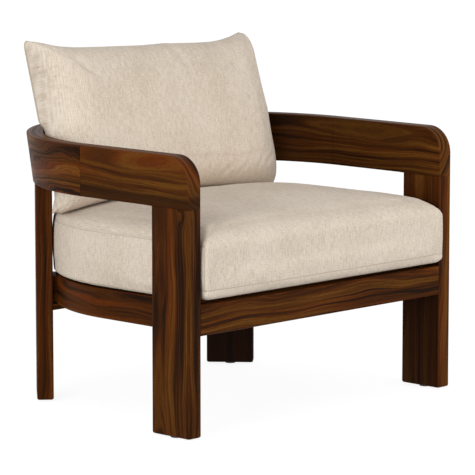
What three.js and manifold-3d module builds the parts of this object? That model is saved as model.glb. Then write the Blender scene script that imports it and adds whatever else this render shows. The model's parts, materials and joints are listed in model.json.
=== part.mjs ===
// A fireside chair: a barrel frame of stained hardwood boards whose arms and back are one raked, bent band,
// a slatted seat frame set in from the legs, a loose box cushion and a loose back pillow.
// Millimetres, +Z up. X runs across the chair and Y from its front to its back.
// The origin is on the floor, under the middle of the whole chair. Left is -X.

import * as THREE from 'three';
import { mergeVertices } from 'three/addons/utils/BufferGeometryUtils.js';
import Module from 'manifold-3d';

const wasm = await Module();
wasm.setup();

// Arms, back band and legs
const chairWidth = 812;
const armHeight = 580;
const boardThickness = 36;
const bandHeight = 107;
const straightLength = 307; // from the front to where the band's lower edge starts to bend
const rakeOffset = 21; // how far the band leans back over its own height
const armLength = 318; // from the front to the glue joint behind each straight arm
const noseRadius = 57; // round top front corner of each arm
const legWidth = 107;
const rearLegDegrees = 41.3; // turn of the rear legs round the bend
const backRailDegrees = 62; // where the corner blocks end and the back rail starts
const arrisRadius = 3; // rounding of the boards' edges
const glueGap = 0.3; // gap between pieces that touch

// Joints
const tenonThickness = 12;
const legTenonWidth = 60;
const legTenonLength = 36;
const railTenonHeight = 40;
const railTenonLength = 27;
const mortiseEndGap = 1; // free depth beyond a tenon, dowel or pin
const dowelDiameter = 10;
const dowelLength = 60;
const dowelSpacing = 54;
const overrunLength = 2; // how far a joining or cutting shape passes the face that it works on

// Seat frame
const railTopHeight = 276;
const railHeight = 64;
const railThickness = 26;
const railInset = 11; // from the legs' inner faces to the seat ring
const frontRailInset = 1;
const battenThickness = 12;
const battenDepth = 52;
const cornerBlockWidth = 40;
const cornerBlockHeight = 28;
const packerLength = 70;
const packerHeight = 56;
const ledgeWidth = 20;
const ledgeHeight = 19;
const ledgeEndDegrees = 80;
const slatCount = 7;
const slatWidth = 62;
const slatThickness = 18;
const slatProudHeight = 9; // how far the slats stand above the rails
const slatFieldOffset = 42;
const slatRearHalfWidth = 104; // half the ring's inner width where the last slat ends
const slatEndGap = 2;

// Bolts through the seat ring into the legs, and floor glides
const boltDiameter = 8;
const boltHeadDiameter = 18;
const boltHeadHeight = 4;
const boltHeadFlatShare = 0.7; // flat part of the head's radius
const boltBiteDepth = 22;
const boltEdgeDistance = 18; // from the rails' lower edge to the bolts' axis
const frontBoltOffset = 82;
const boltClearance = 0.4;
const glideDiameter = 26;
const glideHeight = 3;
const glideFlatShare = 0.9; // part of the glide's radius that bears on the floor
const glidePinDiameter = 6;
const glidePinLength = 14;

// Seat cushion
const cushionGap = 5; // between the cushion's sides and the front legs
const cushionOverhang = 17; // how far its front stands out from the legs
const cushionCornerRadius = 14;
const bottomSeamHeight = 20;
const topSeamHeight = 111;
const crownTopHeight = 168;
const crownInset = 290; // from the top seam to where the crown is level
const crownRingShares = [0.03, 0.06, 0.12, 0.22, 0.36, 0.54, 0.76, 1]; // of that inset
const crownRollInset = 34; // width of the round top edge
const crownRollShare = 0.45; // part of the crown that the round top edge reaches
const crownPressDepth = 16; // how far the pillow presses the crown down
const pressStartDistance = 350;
const pressEndDistance = 470;
const seamDrawDepth = 2.5; // how far a seam pulls the cover in
const seamReachHeight = 7.6; // height over which it does so
const sideBulgeDepth = 4; // how far the sides are drawn in at the seams from their fullest line
const bottomRollRadius = 9;

// Back pillow
const pillowSideClearance = 74; // from its side corners to the chair's full width
const pillowHeight = 368;
const pillowFrontDepth = 88;
const pillowBackDepth = 88;
const frontSidePower = 10; // how full the front panel stays towards its sides
const frontEdgePower = 6; // and towards its top and bottom
const pillowSideInset = 12;
const pillowTopInset = 21;
const pillowEarPower = 5; // how sharply the top edge turns up at its corners
const pillowBottomInset = 34;
const pillowTopSlopeHeight = 11; // how far its top left corner stands above level, and the right one below
const pillowBowDepth = 10; // how far its middle is bowed back
const pillowHemThickness = 5; // thickness left along the knife edge
const pillowBandGap = 3; // free space between the pillow's pressed sides and the band
const pillowFlareHeight = 30; // height above the band over which the pillow swells out again
const pillowLeanDegrees = 14.5;
const pillowBackClearance = 150; // from its middle to the band's inner face behind it

// Zip of the seat cushion's cover
const zipDegrees = 30; // half the length of the zip round the cushion's back
const zipTapeWidth = 22;
const zipTapeThickness = 1.2;
const zipGap = 0.3;
const zipSliderLength = 12;
const zipSliderWidth = 9;
const zipSliderThickness = 2;

const { degToRad } = THREE.MathUtils;
const rearLegTurn = degToRad(rearLegDegrees);
const backRailTurn = degToRad(backRailDegrees);
const rightAngle = Math.PI / 2;
const roundSides = 16; // flats round each dowel, bolt and glide

const outerRadius = chairWidth / 2;
const innerRadius = outerRadius - boardThickness;
const midRadius = (outerRadius + innerRadius) / 2;
const bandBottom = armHeight - bandHeight;
const legTop = bandBottom - glueGap;
const legBottom = glideHeight;
const rearLegRadius = Math.sqrt(outerRadius ** 2 - (legWidth / 2) ** 2) - boardThickness / 2;
const rearLegInner = rearLegRadius - boardThickness / 2;
const railBottom = railTopHeight - railHeight;
const boltHeight = railBottom + boltEdgeDistance;
const packerBottom = railBottom + arrisRadius;
const ringOuter = innerRadius - railInset;
const ringInner = ringOuter - railThickness;
const frontRailBack = frontRailInset + railThickness;
const frontRailMiddle = (frontRailInset + frontRailBack) / 2;
const slatTop = railTopHeight + slatProudHeight;
const slatBottom = slatTop - slatThickness;
const cushionBottom = slatTop + glueGap;
const cushionHalfWidth = innerRadius - cushionGap;
const pillowWidth = chairWidth - 2 * pillowSideClearance;
const pillowMiddle = straightLength + innerRadius - pillowBackClearance; // its distance from the front

const finishes = {
  wood: { color: 0x5f371c, roughness: 0.42, metalness: 0 },
  darkWood: { color: 0x472713, roughness: 0.5, metalness: 0 },
  slatWood: { color: 0x8a6540, roughness: 0.7, metalness: 0 },
  linen: { color: 0xd8c8b4, roughness: 0.95, metalness: 0 },
  zipCloth: { color: 0xc3b39c, roughness: 0.8, metalness: 0 },
  steel: { color: 0x8c8c8a, roughness: 0.4, metalness: 1 },
  nylon: { color: 0x3a3a3a, roughness: 0.6, metalness: 0 },
};

const chair = new THREE.Group();
const frameGroup = new THREE.Group();
const seatGroup = new THREE.Group();
const cushionGroup = new THREE.Group();
chair.add(frameGroup, seatGroup, cushionGroup);

function addPiece(group, name, geometry, finish) {
  const piece = new THREE.Mesh(geometry, new THREE.MeshStandardMaterial(finishes[finish]));
  piece.name = name;
  group.add(piece);
}

// Turns a geometry's faces outwards if they face in, as they do after a mirroring.
function facedOut(geometry) {
  const { array } = geometry.attributes.position;
  const index = geometry.index.array;
  const [a, b, c] = [new THREE.Vector3(), new THREE.Vector3(), new THREE.Vector3()];
  let volume = 0;
  for (let i = 0; i < index.length; i += 3) {
    a.fromArray(array, 3 * index[i]);
    b.fromArray(array, 3 * index[i + 1]);
    c.fromArray(array, 3 * index[i + 2]);
    volume += a.dot(b.cross(c));
  }
  if (volume < 0) {
    for (let i = 0; i < index.length; i += 3) {
      [index[i], index[i + 1]] = [index[i + 1], index[i]];
    }
  }
  return geometry;
}

// A closed geometry of shared vertices that hold only their position.
function welded(geometry) {
  geometry.deleteAttribute('normal');
  geometry.deleteAttribute('uv');
  return mergeVertices(geometry);
}

function mirrored(geometry) {
  return facedOut(welded(geometry.clone().scale(-1, 1, 1)));
}

// The right-hand piece, or its mirror image on the left.
function onSide(geometry, side) {
  return side === 'right' ? geometry : mirrored(geometry);
}

function solidOf(geometry) {
  const closed = welded(geometry.clone());
  const mesh = new wasm.Mesh({
    numProp: 3,
    vertProperties: new Float32Array(closed.attributes.position.array),
    triVerts: new Uint32Array(closed.index.array),
  });
  return new wasm.Manifold(mesh);
}

function geometryOf(solid) {
  const mesh = solid.getMesh();
  const geometry = new THREE.BufferGeometry();
  geometry.setAttribute('position', new THREE.BufferAttribute(mesh.vertProperties, 3));
  geometry.setIndex(new THREE.BufferAttribute(mesh.triVerts, 1));
  geometry.computeVertexNormals();
  return geometry;
}

function joined(geometry, ...others) {
  return geometryOf(others.reduce((solid, other) => solid.add(solidOf(other)), solidOf(geometry)));
}

function cut(geometry, ...tools) {
  return geometryOf(tools.reduce((solid, tool) => solid.subtract(solidOf(tool)), solidOf(geometry)));
}

// A block between two corners.
function block(low, high) {
  const size = high.map((value, axis) => value - low[axis]);
  const middle = high.map((value, axis) => (value + low[axis]) / 2);
  return new THREE.BoxGeometry(...size).translate(...middle);
}

// A rod along Z between two heights, on the Z axis.
function rod(diameter, low, high) {
  const geometry = new THREE.CylinderGeometry(diameter / 2, diameter / 2, high - low, roundSides);
  return geometry.rotateX(rightAngle).translate(0, 0, (low + high) / 2);
}

function geometryFrom(points, index) {
  const geometry = new THREE.BufferGeometry();
  const places = points.flatMap((point) => point.toArray());
  geometry.setAttribute('position', new THREE.Float32BufferAttribute(places, 3));
  geometry.setIndex(index);
  return geometry;
}

// A closed body through rings of points, each ring with the same number of them.
function loft(rings) {
  const count = rings[0].length;
  const points = rings.flat();
  const index = [];
  for (let ring = 0; ring + 1 < rings.length; ring++) {
    for (let i = 0; i < count; i++) {
      const here = ring * count + i;
      const next = ring * count + ((i + 1) % count);
      index.push(here, next, next + count, here, next + count, here + count);
    }
  }
  for (const [start, turned] of [[0, true], [(rings.length - 1) * count, false]]) {
    const middle = points.length;
    const ring = points.slice(start, start + count);
    points.push(ring.reduce((sum, point) => sum.add(point), new THREE.Vector3()).divideScalar(count));
    for (let i = 0; i < count; i++) {
      const [here, next] = [start + i, start + ((i + 1) % count)];
      index.push(...(turned ? [middle, next, here] : [middle, here, next]));
    }
  }
  return facedOut(geometryFrom(points, index));
}

// The corner points of a rectangle with rounded corners, as pairs of its two coordinates.
function easedRectangle([lowA, lowB], [highA, highB], radius, steps = 2) {
  const corners = [
    [highA - radius, highB - radius],
    [lowA + radius, highB - radius],
    [lowA + radius, lowB + radius],
    [highA - radius, lowB + radius],
  ];
  return corners.flatMap(([a, b], corner) =>
    Array.from({ length: steps + 1 }, (_, step) => {
      const angle = (corner + step / steps) * rightAngle;
      return [a + radius * Math.cos(angle), b + radius * Math.sin(angle)];
    }));
}

function shapeOf(pairs) {
  return new THREE.Shape(pairs.map(([a, b]) => new THREE.Vector2(a, b)));
}

// An upright post of a plan outline between two heights.
function post(pairs, low, high) {
  const geometry = new THREE.ExtrudeGeometry(shapeOf(pairs), { depth: high - low, bevelEnabled: false });
  return geometry.translate(0, 0, low);
}

// Where the bend's centre lies at a height: the raked band's moves back with it, the ring's does not.
const rakedCentre = (z) => straightLength + (rakeOffset * (z - bandBottom)) / bandHeight;
const uprightCentre = () => straightLength;

// A bent strip of a section given as pairs of radius and height. It starts at a straight end at startY,
// or at startTurn where it has none, and runs round the bend to endTurn. Turns start at +X.
function bentStrip(section, { centre, startY, startTurn = 0, endTurn, steps }) {
  const rings = [];
  let first = startTurn;
  if (startY !== undefined) {
    rings.push(section.map(([radius, z]) => new THREE.Vector3(radius, startY, z)));
    first = Math.asin(Math.max(0, startY - straightLength) / innerRadius) + (endTurn - startTurn) / steps;
  }
  for (let step = 0; step <= steps; step++) {
    const turn = first + ((endTurn - first) * step) / steps;
    rings.push(section.map(([radius, z]) =>
      new THREE.Vector3(radius * Math.cos(turn), centre(z) + radius * Math.sin(turn), z)));
  }
  return loft(rings);
}

// Moves a piece made along local X, its radius, to a turn round the upright bend.
function placedAtTurn(geometry, turn) {
  return geometry.rotateZ(turn).translate(0, straightLength, 0);
}

// A dowel or its hole, lying along Y, with its middle at the origin.
function dowel(clearance, endClearance) {
  const half = dowelLength / 2 + endClearance;
  return rod(dowelDiameter + 2 * clearance, -half, half).rotateX(rightAngle);
}

const bandMiddle = (bandBottom + armHeight) / 2;
const dowelHeights = [bandMiddle - dowelSpacing / 2, bandMiddle + dowelSpacing / 2];

function armDowel(z, clearance = 0, endClearance = 0) {
  return dowel(clearance, endClearance).translate(midRadius, armLength, z);
}

function backDowel(z, clearance = 0, endClearance = 0) {
  const piece = dowel(clearance, endClearance).translate(midRadius, 0, z).rotateZ(backRailTurn);
  return piece.translate(0, rakedCentre(z), 0);
}

const dowelHole = (place, z) => place(z, glueGap, mortiseEndGap);

// The arm's side outline, drawn as Y and Z, with its round top front corner.
function armOutline() {
  const steps = 10;
  const rear = armLength - glueGap / 2;
  const nose = Array.from({ length: steps + 1 }, (_, step) => {
    const angle = Math.PI - (step / steps) * rightAngle;
    return [
      noseRadius + noseRadius * Math.cos(angle),
      armHeight - noseRadius + noseRadius * Math.sin(angle),
    ];
  });
  return [[rear, bandBottom], [0, bandBottom], ...nose, [rear, armHeight]];
}

function armRail() {
  const geometry = new THREE.ExtrudeGeometry(shapeOf(armOutline()), {
    depth: boardThickness - 2 * arrisRadius,
    bevelThickness: arrisRadius,
    bevelSize: arrisRadius,
    bevelOffset: -arrisRadius,
    bevelSegments: 2,
  });
  geometry.rotateY(rightAngle).rotateX(rightAngle);
  return geometry.translate(innerRadius + arrisRadius, 0, 0);
}

const legMiddle = legWidth / 2;

function legTenon(clearance, endClearance) {
  const [x, y] = [tenonThickness / 2 + clearance, legTenonWidth / 2 + clearance];
  return block([-x, -y, legTop - overrunLength], [x, y, legTop + legTenonLength + endClearance]);
}

// A leg about its own upright axis, its thickness along X, with a tenon on top and a hole for its glide.
function leg() {
  const [x, y] = [boardThickness / 2, legWidth / 2];
  const body = post(easedRectangle([-x, -y], [x, y], arrisRadius), legBottom, legTop);
  const pinTop = legBottom + glidePinLength + mortiseEndGap;
  const pinHole = rod(glidePinDiameter + 2 * glueGap, legBottom - overrunLength, pinTop);
  return cut(joined(body, legTenon(0, 0)), pinHole);
}

const atFrontLeg = (geometry) => geometry.translate(midRadius, legMiddle, 0);
const atRearLeg = (geometry) => placedAtTurn(geometry.translate(rearLegRadius, 0, 0), rearLegTurn);

function frontRailTenon(clearance, endClearance) {
  const middle = (railBottom + railTopHeight) / 2;
  const [y, z] = [tenonThickness / 2 + clearance, railTenonHeight / 2 + clearance];
  return block(
    [innerRadius - overrunLength, frontRailMiddle - y, middle - z],
    [innerRadius + railTenonLength + endClearance, frontRailMiddle + y, middle + z],
  );
}

// A bolt along local X: its head bears on the seat ring's inner face and its shank bites into the leg.
function bolt(reach) {
  const head = boltHeadDiameter / 2;
  const shank = boltDiameter / 2;
  const profile = [
    [0, -boltHeadHeight],
    [head * boltHeadFlatShare, -boltHeadHeight],
    [head, -boltHeadHeight / 2],
    [head, 0],
    [shank, 0],
    [shank, reach],
    [0, reach],
  ];
  const points = profile.map(([radius, along]) => new THREE.Vector2(radius, along));
  return new THREE.LatheGeometry(points, roundSides).rotateZ(-rightAngle);
}

function boltHole(reach) {
  return rod(boltDiameter + 2 * boltClearance, -overrunLength, reach + mortiseEndGap).rotateY(rightAngle);
}

const boltSeat = ringInner - 2 * glueGap;
const frontBoltReach = innerRadius + boltBiteDepth - boltSeat;
const rearBoltReach = rearLegInner + boltBiteDepth - boltSeat;
const atFrontBolt = (geometry) => geometry.translate(boltSeat, frontBoltOffset, boltHeight);
const atRearBolt = (geometry) => placedAtTurn(geometry.translate(boltSeat, 0, boltHeight), rearLegTurn);

const ringSection = easedRectangle([ringInner, railBottom], [ringOuter, railTopHeight], arrisRadius);
const glueTurn = glueGap / 2 / midRadius;

function cornerBlock() {
  const section = easedRectangle([innerRadius, bandBottom], [outerRadius, armHeight], arrisRadius);
  const strip = bentStrip(section, {
    centre: rakedCentre,
    startY: armLength + glueGap / 2,
    endTurn: backRailTurn - glueTurn,
    steps: 18,
  });
  return cut(
    strip,
    atRearLeg(legTenon(glueGap, mortiseEndGap)),
    ...dowelHeights.map((z) => dowelHole(armDowel, z)),
    ...dowelHeights.map((z) => dowelHole(backDowel, z)),
  );
}

function backRail() {
  const section = easedRectangle([innerRadius, bandBottom], [outerRadius, armHeight], arrisRadius);
  const strip = bentStrip(section, {
    centre: rakedCentre,
    startTurn: backRailTurn + glueTurn,
    endTurn: Math.PI - backRailTurn - glueTurn,
    steps: 16,
  });
  const holes = dowelHeights.map((z) => dowelHole(backDowel, z));
  return cut(strip, ...holes, ...holes.map(mirrored));
}

function buildBandAndLegs() {
  const arm = cut(
    armRail(),
    atFrontLeg(legTenon(glueGap, mortiseEndGap)),
    ...dowelHeights.map((z) => dowelHole(armDowel, z)),
  );
  const corner = cornerBlock();
  const frontLeg = cut(
    atFrontLeg(leg()),
    frontRailTenon(glueGap, mortiseEndGap),
    atFrontBolt(boltHole(frontBoltReach)),
  );
  const rearLeg = cut(atRearLeg(leg()), atRearBolt(boltHole(rearBoltReach)));
  for (const side of ['left', 'right']) {
    addPiece(frameGroup, `arm_rail_${side}`, onSide(arm, side), 'wood');
    addPiece(frameGroup, `back_corner_${side}`, onSide(corner, side), 'wood');
    addPiece(frameGroup, `front_leg_${side}`, onSide(frontLeg, side), 'wood');
    addPiece(frameGroup, `rear_leg_${side}`, onSide(rearLeg, side), 'wood');
  }
  addPiece(frameGroup, 'back_rail', backRail(), 'wood');
}

function buildDowels() {
  for (const side of ['left', 'right']) {
    dowelHeights.forEach((z, row) => {
      const level = ['lower', 'upper'][row];
      addPiece(frameGroup, `arm_dowel_${side}_${level}`, onSide(armDowel(z), side), 'slatWood');
      addPiece(frameGroup, `back_dowel_${side}_${level}`, onSide(backDowel(z), side), 'slatWood');
    });
  }
}

function frontRail() {
  const reach = innerRadius - glueGap;
  const section = easedRectangle([frontRailInset, railBottom], [frontRailBack, railTopHeight], arrisRadius);
  const rings = [-reach, reach].map((x) => section.map(([y, z]) => new THREE.Vector3(x, y, z)));
  const tenon = frontRailTenon(0, 0);
  return joined(loft(rings), tenon, mirrored(tenon));
}

// The batten that ties the rear legs together under the ring, its ends cut to the legs' inner faces.
function rearBatten() {
  const front = new THREE.Vector2(rearLegInner - glueGap, -legWidth / 2);
  front.rotateAround(new THREE.Vector2(), rearLegTurn);
  const frontY = straightLength + front.y;
  const rearX = front.x - battenDepth * Math.tan(rearLegTurn);
  const rearY = frontY + battenDepth;
  const plan = [[-front.x, frontY], [front.x, frontY], [rearX, rearY], [-rearX, rearY]];
  const top = railBottom - glueGap;
  return post(plan, top - battenThickness, top);
}

// The piece that fills the gap between the ring's curve and a rear leg's flat inner face.
function rearPacker() {
  const half = Math.asin(packerLength / 2 / ringOuter);
  const steps = 8;
  const curve = Array.from({ length: steps + 1 }, (_, step) => {
    const turn = half - (2 * half * step) / steps;
    return [(ringOuter + glueGap) * Math.cos(turn), (ringOuter + glueGap) * Math.sin(turn)];
  });
  const flat = rearLegInner - glueGap;
  const plan = [[flat, -packerLength / 2], [flat, packerLength / 2], ...curve];
  return placedAtTurn(post(plan, packerBottom, packerBottom + packerHeight), rearLegTurn);
}

function frontPacker() {
  const start = frontRailBack + glueGap;
  return block(
    [ringOuter + glueGap, start, packerBottom],
    [innerRadius - glueGap, start + packerLength, packerBottom + packerHeight],
  );
}

function frontCornerBlock() {
  const [x, y] = [ringInner - glueGap, frontRailBack + glueGap];
  const plan = [[x - cornerBlockWidth, y], [x, y], [x, y + cornerBlockWidth]];
  return post(plan, packerBottom, packerBottom + cornerBlockHeight);
}

function slatLedge() {
  const top = slatBottom - glueGap;
  const outer = ringInner - glueGap;
  const section = [[outer - ledgeWidth, top - ledgeHeight], [outer, top - ledgeHeight], [outer, top],
    [outer - ledgeWidth, top]];
  return bentStrip(section, {
    centre: uprightCentre,
    startY: frontRailBack + glueGap,
    endTurn: degToRad(ledgeEndDegrees),
    steps: 16,
  });
}

// Half the clear width inside the seat ring at a distance from the chair's front.
const halfChord = (y) => Math.sqrt(ringInner ** 2 - Math.max(0, y - straightLength) ** 2);

function slat(front) {
  const half = halfChord(front + slatWidth) - slatEndGap;
  const section = easedRectangle([front, slatBottom], [front + slatWidth, slatTop], arrisRadius, 1);
  return loft([-half, half].map((x) => section.map(([y, z]) => new THREE.Vector3(x, y, z))));
}

function buildSeatFrame() {
  const frontHole = atFrontBolt(boltHole(frontBoltReach));
  const rearHole = atRearBolt(boltHole(rearBoltReach));
  const sideRail = cut(
    bentStrip(ringSection, {
      centre: uprightCentre,
      startY: frontRailBack + glueGap,
      endTurn: backRailTurn - glueTurn,
      steps: 16,
    }),
    frontHole,
    rearHole,
  );
  const pieces = {
    seat_side_rail: sideRail,
    front_packer: cut(frontPacker(), frontHole),
    rear_packer: cut(rearPacker(), rearHole),
    seat_corner_block: frontCornerBlock(),
    slat_ledge: slatLedge(),
  };
  for (const side of ['left', 'right']) {
    for (const [name, geometry] of Object.entries(pieces)) {
      addPiece(seatGroup, `${name}_${side}`, onSide(geometry, side), 'darkWood');
    }
    addPiece(seatGroup, `front_bolt_${side}`, onSide(atFrontBolt(bolt(frontBoltReach)), side), 'steel');
    addPiece(seatGroup, `rear_bolt_${side}`, onSide(atRearBolt(bolt(rearBoltReach)), side), 'steel');
  }
  addPiece(seatGroup, 'seat_front_rail', frontRail(), 'wood');
  addPiece(seatGroup, 'seat_rear_rail', bentStrip(ringSection, {
    centre: uprightCentre,
    startTurn: backRailTurn + glueTurn,
    endTurn: Math.PI - backRailTurn - glueTurn,
    steps: 14,
  }), 'darkWood');
  addPiece(seatGroup, 'rear_batten', rearBatten(), 'darkWood');
  const slatFieldRear = straightLength + Math.sqrt(ringInner ** 2 - slatRearHalfWidth ** 2);
  const pitch = (slatFieldRear - slatWidth - slatFieldOffset) / (slatCount - 1);
  for (let i = 0; i < slatCount; i++) {
    addPiece(seatGroup, `seat_slat_${i + 1}`, slat(slatFieldOffset + i * pitch), 'slatWood');
  }
}

function glide() {
  const [foot, pin] = [glideDiameter / 2, glidePinDiameter / 2];
  const profile = [
    [0, 0],
    [foot * glideFlatShare, 0],
    [foot, glideHeight / 2],
    [foot, glideHeight - glueGap],
    [pin, glideHeight - glueGap],
    [pin, glideHeight + glidePinLength],
    [0, glideHeight + glidePinLength],
  ];
  const points = profile.map(([radius, z]) => new THREE.Vector2(radius, z));
  return new THREE.LatheGeometry(points, roundSides).rotateX(rightAngle);
}

function buildGlides() {
  for (const side of ['left', 'right']) {
    addPiece(frameGroup, `front_glide_${side}`, onSide(atFrontLeg(glide()), side), 'nylon');
    addPiece(frameGroup, `rear_glide_${side}`, onSide(atRearLeg(glide()), side), 'nylon');
  }
}

// The seat cushion's plan, drawn in all round by an inset: a straight front, round front corners,
// straight sides and a half-round back.
function cushionRing(inset, z) {
  const half = cushionHalfWidth - inset;
  const front = inset - cushionOverhang;
  const radius = Math.max(cushionCornerRadius - inset, arrisRadius);
  const [backSteps, sideSteps, cornerSteps, frontSteps] = [24, 3, 4, 6];
  const plan = [];
  const arc = (x, y, r, from, to, steps) => {
    for (let step = 0; step <= steps; step++) {
      const angle = from + ((to - from) * step) / steps;
      plan.push([x + r * Math.cos(angle), y + r * Math.sin(angle)]);
    }
  };
  const line = ([x0, y0], [x1, y1], steps) => {
    for (let step = 1; step < steps; step++) {
      plan.push([x0 + ((x1 - x0) * step) / steps, y0 + ((y1 - y0) * step) / steps]);
    }
  };
  arc(0, straightLength, half, 0, Math.PI, backSteps);
  line([-half, straightLength], [-half, front + radius], sideSteps);
  arc(radius - half, front + radius, radius, Math.PI, 3 * rightAngle, cornerSteps);
  line([radius - half, front], [half - radius, front], frontSteps);
  arc(half - radius, front + radius, radius, -rightAngle, 0, cornerSteps);
  line([half, front + radius], [half, straightLength], sideSteps);
  return plan.map(([x, y]) => new THREE.Vector3(x, y, z));
}

// Height of the crown above the cushion's bottom, by the inset from the top seam and the distance from
// the front. It rises in a round top edge, domes to the middle and is pressed down under the pillow.
function crownHeight(inset, y) {
  const rise = crownTopHeight - topSeamHeight;
  const roll = Math.sqrt(1 - (1 - Math.min(inset / crownRollInset, 1)) ** 2);
  const dome = 1 - (1 - Math.min(inset / crownInset, 1)) ** 2;
  const behind = THREE.MathUtils.smoothstep(y, pressStartDistance, pressEndDistance);
  const full = topSeamHeight + rise * (crownRollShare * roll + (1 - crownRollShare) * dome);
  return full - crownPressDepth * behind * Math.min(inset / crownRollInset, 1);
}

function seatCushion() {
  const rollSteps = 2;
  const roll = Array.from({ length: rollSteps + 1 }, (_, step) => {
    const angle = (step / rollSteps) * rightAngle;
    const inset = sideBulgeDepth + bottomRollRadius * (1 - Math.sin(angle));
    return [inset, bottomRollRadius * (1 - Math.cos(angle))];
  });
  const rings = [
    [crownInset, 0],
    [crownInset / 2, 0],
    ...roll,
    [sideBulgeDepth, bottomSeamHeight - seamReachHeight / 2],
    [sideBulgeDepth + seamDrawDepth, bottomSeamHeight],
    [sideBulgeDepth, bottomSeamHeight + seamReachHeight / 2],
    [0, (bottomSeamHeight + topSeamHeight) / 2],
    [sideBulgeDepth, topSeamHeight - seamReachHeight / 2],
    [sideBulgeDepth + seamDrawDepth, topSeamHeight],
  ].map(([inset, height]) => cushionRing(inset, cushionBottom + height));
  const crown = crownRingShares.map((share) => {
    const inset = share * crownInset;
    const ring = cushionRing(sideBulgeDepth + inset, cushionBottom);
    ring.forEach((point) => { point.z += crownHeight(inset, point.y); });
    return ring;
  });
  return loft([...rings, ...crown]);
}

// A knife-edge pillow in its own frame: X across, Y through its thickness, Z up.
// Its edges are drawn in between four pointed corners.
function pillow() {
  const [columns, rows] = [26, 16];
  const at = (u, v, face) => {
    const x = u * (pillowWidth / 2 - pillowSideInset * (1 - v * v));
    const topDip = pillowTopInset * (1 - Math.abs(u) ** pillowEarPower);
    const dip = v > 0 ? topDip : pillowBottomInset * (1 - u * u);
    const slope = (-pillowTopSlopeHeight * u * (1 + v)) / 2;
    const z = v * (pillowHeight / 2 - dip) + slope;
    const frontFall = (1 - Math.abs(u) ** frontSidePower) * (1 - Math.abs(v) ** frontEdgePower);
    const frontShare = Math.sqrt(frontFall);
    const backShare = (1 - u * u) * Math.sqrt(1 - v * v);
    const front = frontShare * (pillowFrontDepth - pillowHemThickness / 2);
    const back = backShare * (pillowBackDepth - pillowHemThickness / 2);
    const half = pillowHemThickness / 2 + (face < 0 ? front : back);
    return new THREE.Vector3(x, pillowBowDepth * (1 - v * v) + face * half, z);
  };
  const eased = (share) => Math.sin((2 * share - 1) * rightAngle);
  const points = [];
  for (const face of [-1, 1]) {
    for (let row = 0; row <= rows; row++) {
      for (let column = 0; column <= columns; column++) {
        points.push(at(eased(column / columns), eased(row / rows), face));
      }
    }
  }
  const width = columns + 1;
  const back = width * (rows + 1);
  const index = [];
  for (let row = 0; row < rows; row++) {
    for (let column = 0; column < columns; column++) {
      const a = row * width + column;
      const [b, c, d] = [a + 1, a + width + 1, a + width];
      index.push(a, b, c, a, c, d);
      index.push(back + a, back + c, back + b, back + a, back + d, back + c);
    }
  }
  const rim = (a, b) => index.push(a, back + a, back + b, a, back + b, b);
  for (let column = 0; column < columns; column++) {
    rim(column, column + 1);
    rim(rows * width + column + 1, rows * width + column);
  }
  for (let row = 0; row < rows; row++) {
    rim((row + 1) * width, row * width);
    rim(row * width + columns, (row + 1) * width + columns);
  }
  return facedOut(geometryFrom(points, index));
}

// Draws a point of the pillow in to where the bent band leaves room for it. Above the band it swells again.
function pressedIn(x, y, z) {
  const centreY = rakedCentre(Math.min(Math.max(z, bandBottom), armHeight));
  const rise = Math.max(0, z - armHeight) / pillowFlareHeight;
  const room = innerRadius - pillowBandGap + pillowFlareHeight * rise ** 2;
  const reach = Math.hypot(x, y - centreY);
  if (reach <= room || y < centreY) return [x, y];
  return [(x * room) / reach, centreY + ((y - centreY) * room) / reach];
}

// The least free height between a piece and the one below it, measured up and down from the corners of both.
function freeHeight(upper, lower) {
  const least = (from, onto, heading) => {
    const target = new THREE.Mesh(onto, new THREE.MeshBasicMaterial());
    const place = from.attributes.position;
    let gap = Infinity;
    for (let i = 0; i < place.count; i++) {
      const start = new THREE.Vector3().fromBufferAttribute(place, i);
      const [hit] = new THREE.Raycaster(start, new THREE.Vector3(0, 0, heading)).intersectObject(target);
      if (hit) gap = Math.min(gap, hit.distance);
    }
    return gap;
  };
  return Math.min(least(upper, lower, -1), least(lower, upper, 1));
}

// The pillow leans back and is let down until it rests on the seat cushion.
function backCushion(seat) {
  const geometry = pillow();
  geometry.rotateX(-degToRad(pillowLeanDegrees));
  geometry.translate(0, pillowMiddle, cushionBottom + crownTopHeight + pillowHeight);
  geometry.translate(0, 0, glueGap - freeHeight(geometry, seat));
  const place = geometry.attributes.position;
  for (let i = 0; i < place.count; i++) {
    const [x, y] = pressedIn(place.getX(i), place.getY(i), place.getZ(i));
    place.setXY(i, x, y);
  }
  return geometry.translate(0, 0, glueGap - freeHeight(geometry, seat));
}

const zipRadius = cushionHalfWidth + zipGap;
const zipHeight = cushionBottom + (bottomSeamHeight + topSeamHeight) / 2;

function zipTape() {
  const [low, high] = [zipHeight - zipTapeWidth / 2, zipHeight + zipTapeWidth / 2];
  const [inner, outer] = [zipRadius, zipRadius + zipTapeThickness];
  const half = degToRad(zipDegrees);
  return bentStrip([[inner, low], [outer, low], [outer, high], [inner, high]], {
    centre: uprightCentre,
    startTurn: rightAngle - half,
    endTurn: rightAngle + half,
    steps: 24,
  });
}

// The slider and its hanging pull, one body, at the left end of the zip.
function zipSlider() {
  const inner = zipRadius + zipTapeThickness + zipGap;
  const outer = inner + zipSliderThickness;
  const low = zipHeight - zipSliderWidth / 2;
  const half = zipSliderLength / 2;
  const body = block([inner, -half, low], [outer, half, low + zipSliderWidth]);
  const pull = block(
    [inner + zipSliderThickness / 2, -zipSliderLength / 4, low - zipSliderLength],
    [outer, zipSliderLength / 4, low + overrunLength],
  );
  const startTurn = rightAngle + degToRad(zipDegrees) - zipSliderLength / zipRadius;
  return placedAtTurn(joined(body, pull), startTurn);
}

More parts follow.
